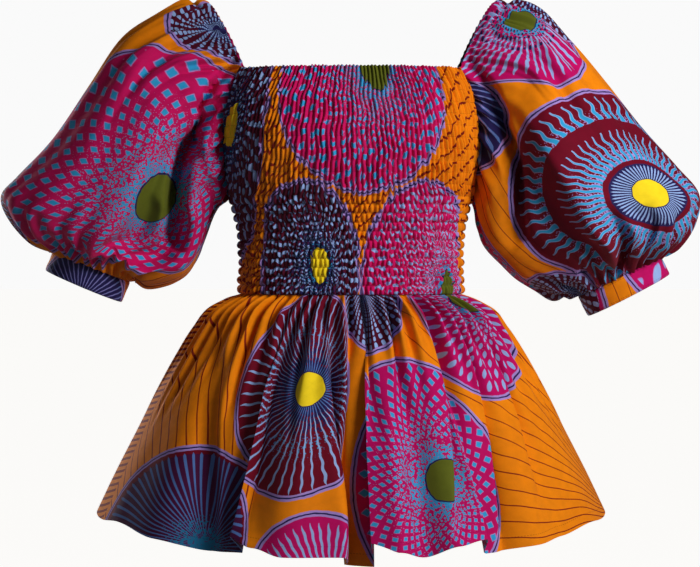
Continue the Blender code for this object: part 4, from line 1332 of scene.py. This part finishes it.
class PeplumTopInks(bpy.types.PropertyGroup):
    """The inks of the wax print."""

    orange: ink_colour("Orange", "#ef8600", "Ground between the discs")
    deep_orange: ink_colour("Deep orange", "#e27900", "Ground where its ink is deeper")
    vein: ink_colour("Vein", "#7a1408", "Fine veins in the ground")
    lilac: ink_colour("Lilac", "#a284c8", "Outlines of discs and marks, and specks")
    navy: ink_colour("Navy", "#211a4d", "Dark lines and specks, and the ground of the darkest discs")
    magenta: ink_colour("Magenta", "#b8005c", "Ground of discs")
    rose: ink_colour("Rose", "#c6085a", "Ground of the brightest discs")
    plum: ink_colour("Plum", "#430937", "Ground of the striped discs")
    crimson: ink_colour("Crimson", "#68001c", "Ground of the rayed discs, and the rim of the striped ones")
    maroon: ink_colour("Maroon", "#4a031f", "Ground of the dotted and beaded discs")
    sky: ink_colour("Sky", "#2c98cc", "Diamonds, wavy rays and specks")
    steel: ink_colour("Steel blue", "#4f6fae", "Stripes, straight rays, specks and the edges of dots")
    mist: ink_colour("Pale blue", "#8fa9da", "Dots, drops, fine rays and the edges of wavy ones")
    teal: ink_colour("Teal", "#1b6f99", "Specks round the eyes")
    yellow: ink_colour("Yellow", "#f0cf1c", "Eyes of the dark discs")
    olive: ink_colour("Olive", "#5b6117", "Eyes of the magenta and rose discs")


class PeplumTopSizes(bpy.types.PropertyGroup):
    """Sizes of the cloth that a user would change."""

    cloth: FloatProperty(
        name="Cloth",
        description="Thickness of the cloth",
        default=0.0008,
        min=0.0003,
        max=0.0015,
        unit="LENGTH",
    )
    smocking_height: FloatProperty(
        name="Smocking", description="How far the shirring's pleats stand out", default=0.0040, unit="LENGTH"
    )
    bodice_cloth_width: FloatProperty(
        name="Bodice cloth", description="Flat width of one shirred panel", default=0.62, unit="LENGTH"
    )
    casing: FloatProperty(
        name="Casing",
        description="Height of the elastic casing on the sleeve's free edge",
        default=0.013,
        unit="LENGTH",
    )
    ruffle: FloatProperty(
        name="Ruffle", description="Height of a sleeve's gathers at its seams", default=0.0038, unit="LENGTH"
    )


class PeplumTopStudio(bpy.types.PropertyGroup):
    """The floor, light and camera."""

    floor_colour: FloatVectorProperty(
        name="Floor", description="Its colour", default=linear("#fbfaf8")[:3], size=3, subtype="COLOR"
    )
    floor_glow: FloatProperty(
        name="Floor glow", description="Light from under the translucent floor", default=0.90
    )
    ambient: FloatProperty(name="Ambient", description="Strength of the light from all round", default=0.10)
    key: FloatProperty(name="Key light", description="Strength of the soft box", default=18.5, unit="POWER")
    key_size: FloatProperty(name="Soft box", description="Width of the soft box", default=0.60, unit="LENGTH")
    key_distance: FloatProperty(
        name="Key distance", description="From the soft box to the top's middle", default=1.5, unit="LENGTH"
    )
    key_height: FloatProperty(
        name="Key height", description="How high the soft box is", default=math.radians(22), unit="ROTATION"
    )
    key_side: FloatProperty(
        name="Key side", description="How far to the side it is", default=math.radians(44), unit="ROTATION"
    )
    back_share: FloatProperty(
        name="Back light", description="Strength of the box behind, to the key's", default=0.6
    )
    back_height: FloatProperty(
        name="Back height", description="How high the box behind is", default=math.radians(8), unit="ROTATION"
    )
    distance: FloatProperty(
        name="Camera distance", description="From the camera to the top's middle", default=3.0, unit="LENGTH"
    )


class PEPLUMTOP_OT_bodice(bpy.types.Operator):
    """Sew the shirred front and back panels"""

    bl_idname = "peplum_top.bodice"
    bl_label = "Shirred bodice"

    def execute(self, context):
        sizes = context.scene.peplum_top_sizes
        bodice_panel(-1, "bodice_front", sizes, np.random.default_rng(11))
        bodice_panel(1, "bodice_back", sizes, np.random.default_rng(12))
        return {"FINISHED"}


class PEPLUMTOP_OT_sleeves(bpy.types.Operator):
    """Sew the two puff sleeves"""

    bl_idname = "peplum_top.sleeves"
    bl_label = "Puff sleeves"

    def execute(self, context):
        sizes = context.scene.peplum_top_sizes
        left, right = (np.random.default_rng(seed) for seed in (21, 22))
        sleeve(-1, LEFT_SLEEVE_SECTIONS, LEFT_LAPS, LEFT_CUFF, "sleeve_left", sizes, left)
        sleeve(1, RIGHT_SLEEVE_SECTIONS, RIGHT_LAPS, RIGHT_CUFF, "sleeve_right", sizes, right)
        return {"FINISHED"}


class PEPLUMTOP_OT_cuffs(bpy.types.Operator):
    """Sew the bands that close the sleeves"""

    bl_idname = "peplum_top.cuffs"
    bl_label = "Cuffs"

    def execute(self, context):
        cuff(-1, LEFT_CUFF, "cuff_left", np.random.default_rng(31))
        cuff(1, RIGHT_CUFF, "cuff_right", np.random.default_rng(32))
        return {"FINISHED"}


class PEPLUMTOP_OT_peplum(bpy.types.Operator):
    """Sew the gathered front and back skirt panels"""

    bl_idname = "peplum_top.peplum"
    bl_label = "Gathered peplum"

    def execute(self, context):
        sizes = context.scene.peplum_top_sizes
        peplum_panel(-1, "peplum_front", FRONT_HEM_FOLDS, FRONT_LAPS, sizes, np.random.default_rng(41))
        peplum_panel(1, "peplum_back", BACK_HEM_FOLDS, BACK_LAPS, sizes, np.random.default_rng(42))
        return {"FINISHED"}


class PEPLUMTOP_OT_stage(bpy.types.Operator):
    """Lay the floor, hang the lights and set up the camera"""

    bl_idname = "peplum_top.stage"
    bl_label = "Floor, light and camera"

    def execute(self, context):
        scene = context.scene
        studio = scene.peplum_top_studio
        bpy.ops.mesh.primitive_plane_add(size=FLOOR_SIZE, location=(0, 0, FLOOR_Z))
        floor = context.object
        floor.name = "floor"
        paint = bpy.data.materials.new("matt_studio_floor")
        paint.use_nodes = True
        shader = paint.node_tree.nodes["Principled BSDF"]
        shader.inputs["Base Color"].default_value = (*studio.floor_colour, 1.0)
        shader.inputs["Roughness"].default_value = 0.9
        shader.inputs["Emission Color"].default_value = (*studio.floor_colour, 1.0)
        shader.inputs["Emission Strength"].default_value = studio.floor_glow
        floor.data.materials.append(paint)
        floor.visible_diffuse = False  # keeps the light that the floor throws back off the cloth

        world = bpy.data.worlds.new("studio")
        world.use_nodes = True
        tree = world.node_tree
        sky = tree.nodes["Background"]
        sky.inputs["Color"].default_value = linear("#ffffff")
        path = add_node(tree, "LightPath")
        seen = (studio.ambient + studio.floor_glow) * studio.floor_colour[1] - studio.ambient
        level = add_node(tree, "Math MULTIPLY_ADD", path.outputs["Is Camera Ray"], seen, studio.ambient)
        tree.links.new(level.outputs[0], sky.inputs["Strength"])
        scene.world = world

        boxes = (
            ("key", studio.key, studio.key_height, studio.key_side),
            ("back", studio.key * studio.back_share, studio.back_height, studio.key_side + math.pi),
        )
        for name, power, height, side in boxes:
            lamp = bpy.data.lights.new(name, "AREA")
            lamp.size = studio.key_size
            lamp.energy = power
            light = bpy.data.objects.new(name, lamp)
            turn = Euler((math.pi / 2 - height, 0, side))
            light.rotation_euler = turn
            light.location = TOP_MIDDLE - turn.to_matrix() @ Vector((0, 0, -studio.key_distance))
            light.visible_camera = False
            scene.collection.objects.link(light)

        lens = bpy.data.cameras.new("camera")
        lens.sensor_width = SENSOR
        lens.lens = SENSOR * studio.distance / VIEW_WIDTH
        lens.shift_y = LENS_SHIFT
        lens.clip_end = FAR_END
        camera = bpy.data.objects.new("camera", lens)
        scene.collection.objects.link(camera)
        camera.location = (CAMERA_X, -studio.distance, CAMERA_Z)
        camera.rotation_euler = (math.pi / 2, 0, 0)
        scene.camera = camera
        scene.view_settings.view_transform = "Standard"
        return {"FINISHED"}


class PEPLUMTOP_PT_panel(bpy.types.Panel):
    """Lists the pieces of the top"""

    bl_label = "Smocked peplum top"
    bl_idname = "PEPLUMTOP_PT_panel"
    bl_space_type = "VIEW_3D"
    bl_region_type = "UI"
    bl_category = "Peplum top"

    def draw(self, context):
        scene = context.scene
        for group in (scene.peplum_top_inks, scene.peplum_top_sizes, scene.peplum_top_studio):
            for name in group.bl_rna.properties.keys():
                if name not in ("rna_type", "name"):
                    self.layout.prop(group, name)
        for step in STEPS:
            self.layout.operator(step.bl_idname)


STEPS = (
    PEPLUMTOP_OT_stage,
    PEPLUMTOP_OT_bodice,
    PEPLUMTOP_OT_sleeves,
    PEPLUMTOP_OT_cuffs,
    PEPLUMTOP_OT_peplum,
)
CLASSES = (PeplumTopInks, PeplumTopSizes, PeplumTopStudio, *STEPS, PEPLUMTOP_PT_panel)


def register():
    for item in CLASSES:
        bpy.utils.register_class(item)
    bpy.types.Scene.peplum_top_inks = PointerProperty(type=PeplumTopInks)
    bpy.types.Scene.peplum_top_sizes = PointerProperty(type=PeplumTopSizes)
    bpy.types.Scene.peplum_top_studio = PointerProperty(type=PeplumTopStudio)


def unregister():
    del bpy.types.Scene.peplum_top_studio
    del bpy.types.Scene.peplum_top_sizes
    del bpy.types.Scene.peplum_top_inks
    for item in reversed(CLASSES):
        bpy.utils.unregister_class(item)


def main():
    register()
    bpy.ops.object.select_all(action="DESELECT")
    bpy.ops.peplum_top.stage()
    bpy.ops.peplum_top.bodice()
    bpy.ops.peplum_top.sleeves()
    bpy.ops.peplum_top.cuffs()
    bpy.ops.peplum_top.peplum()


if __name__ == "__main__":
    main()
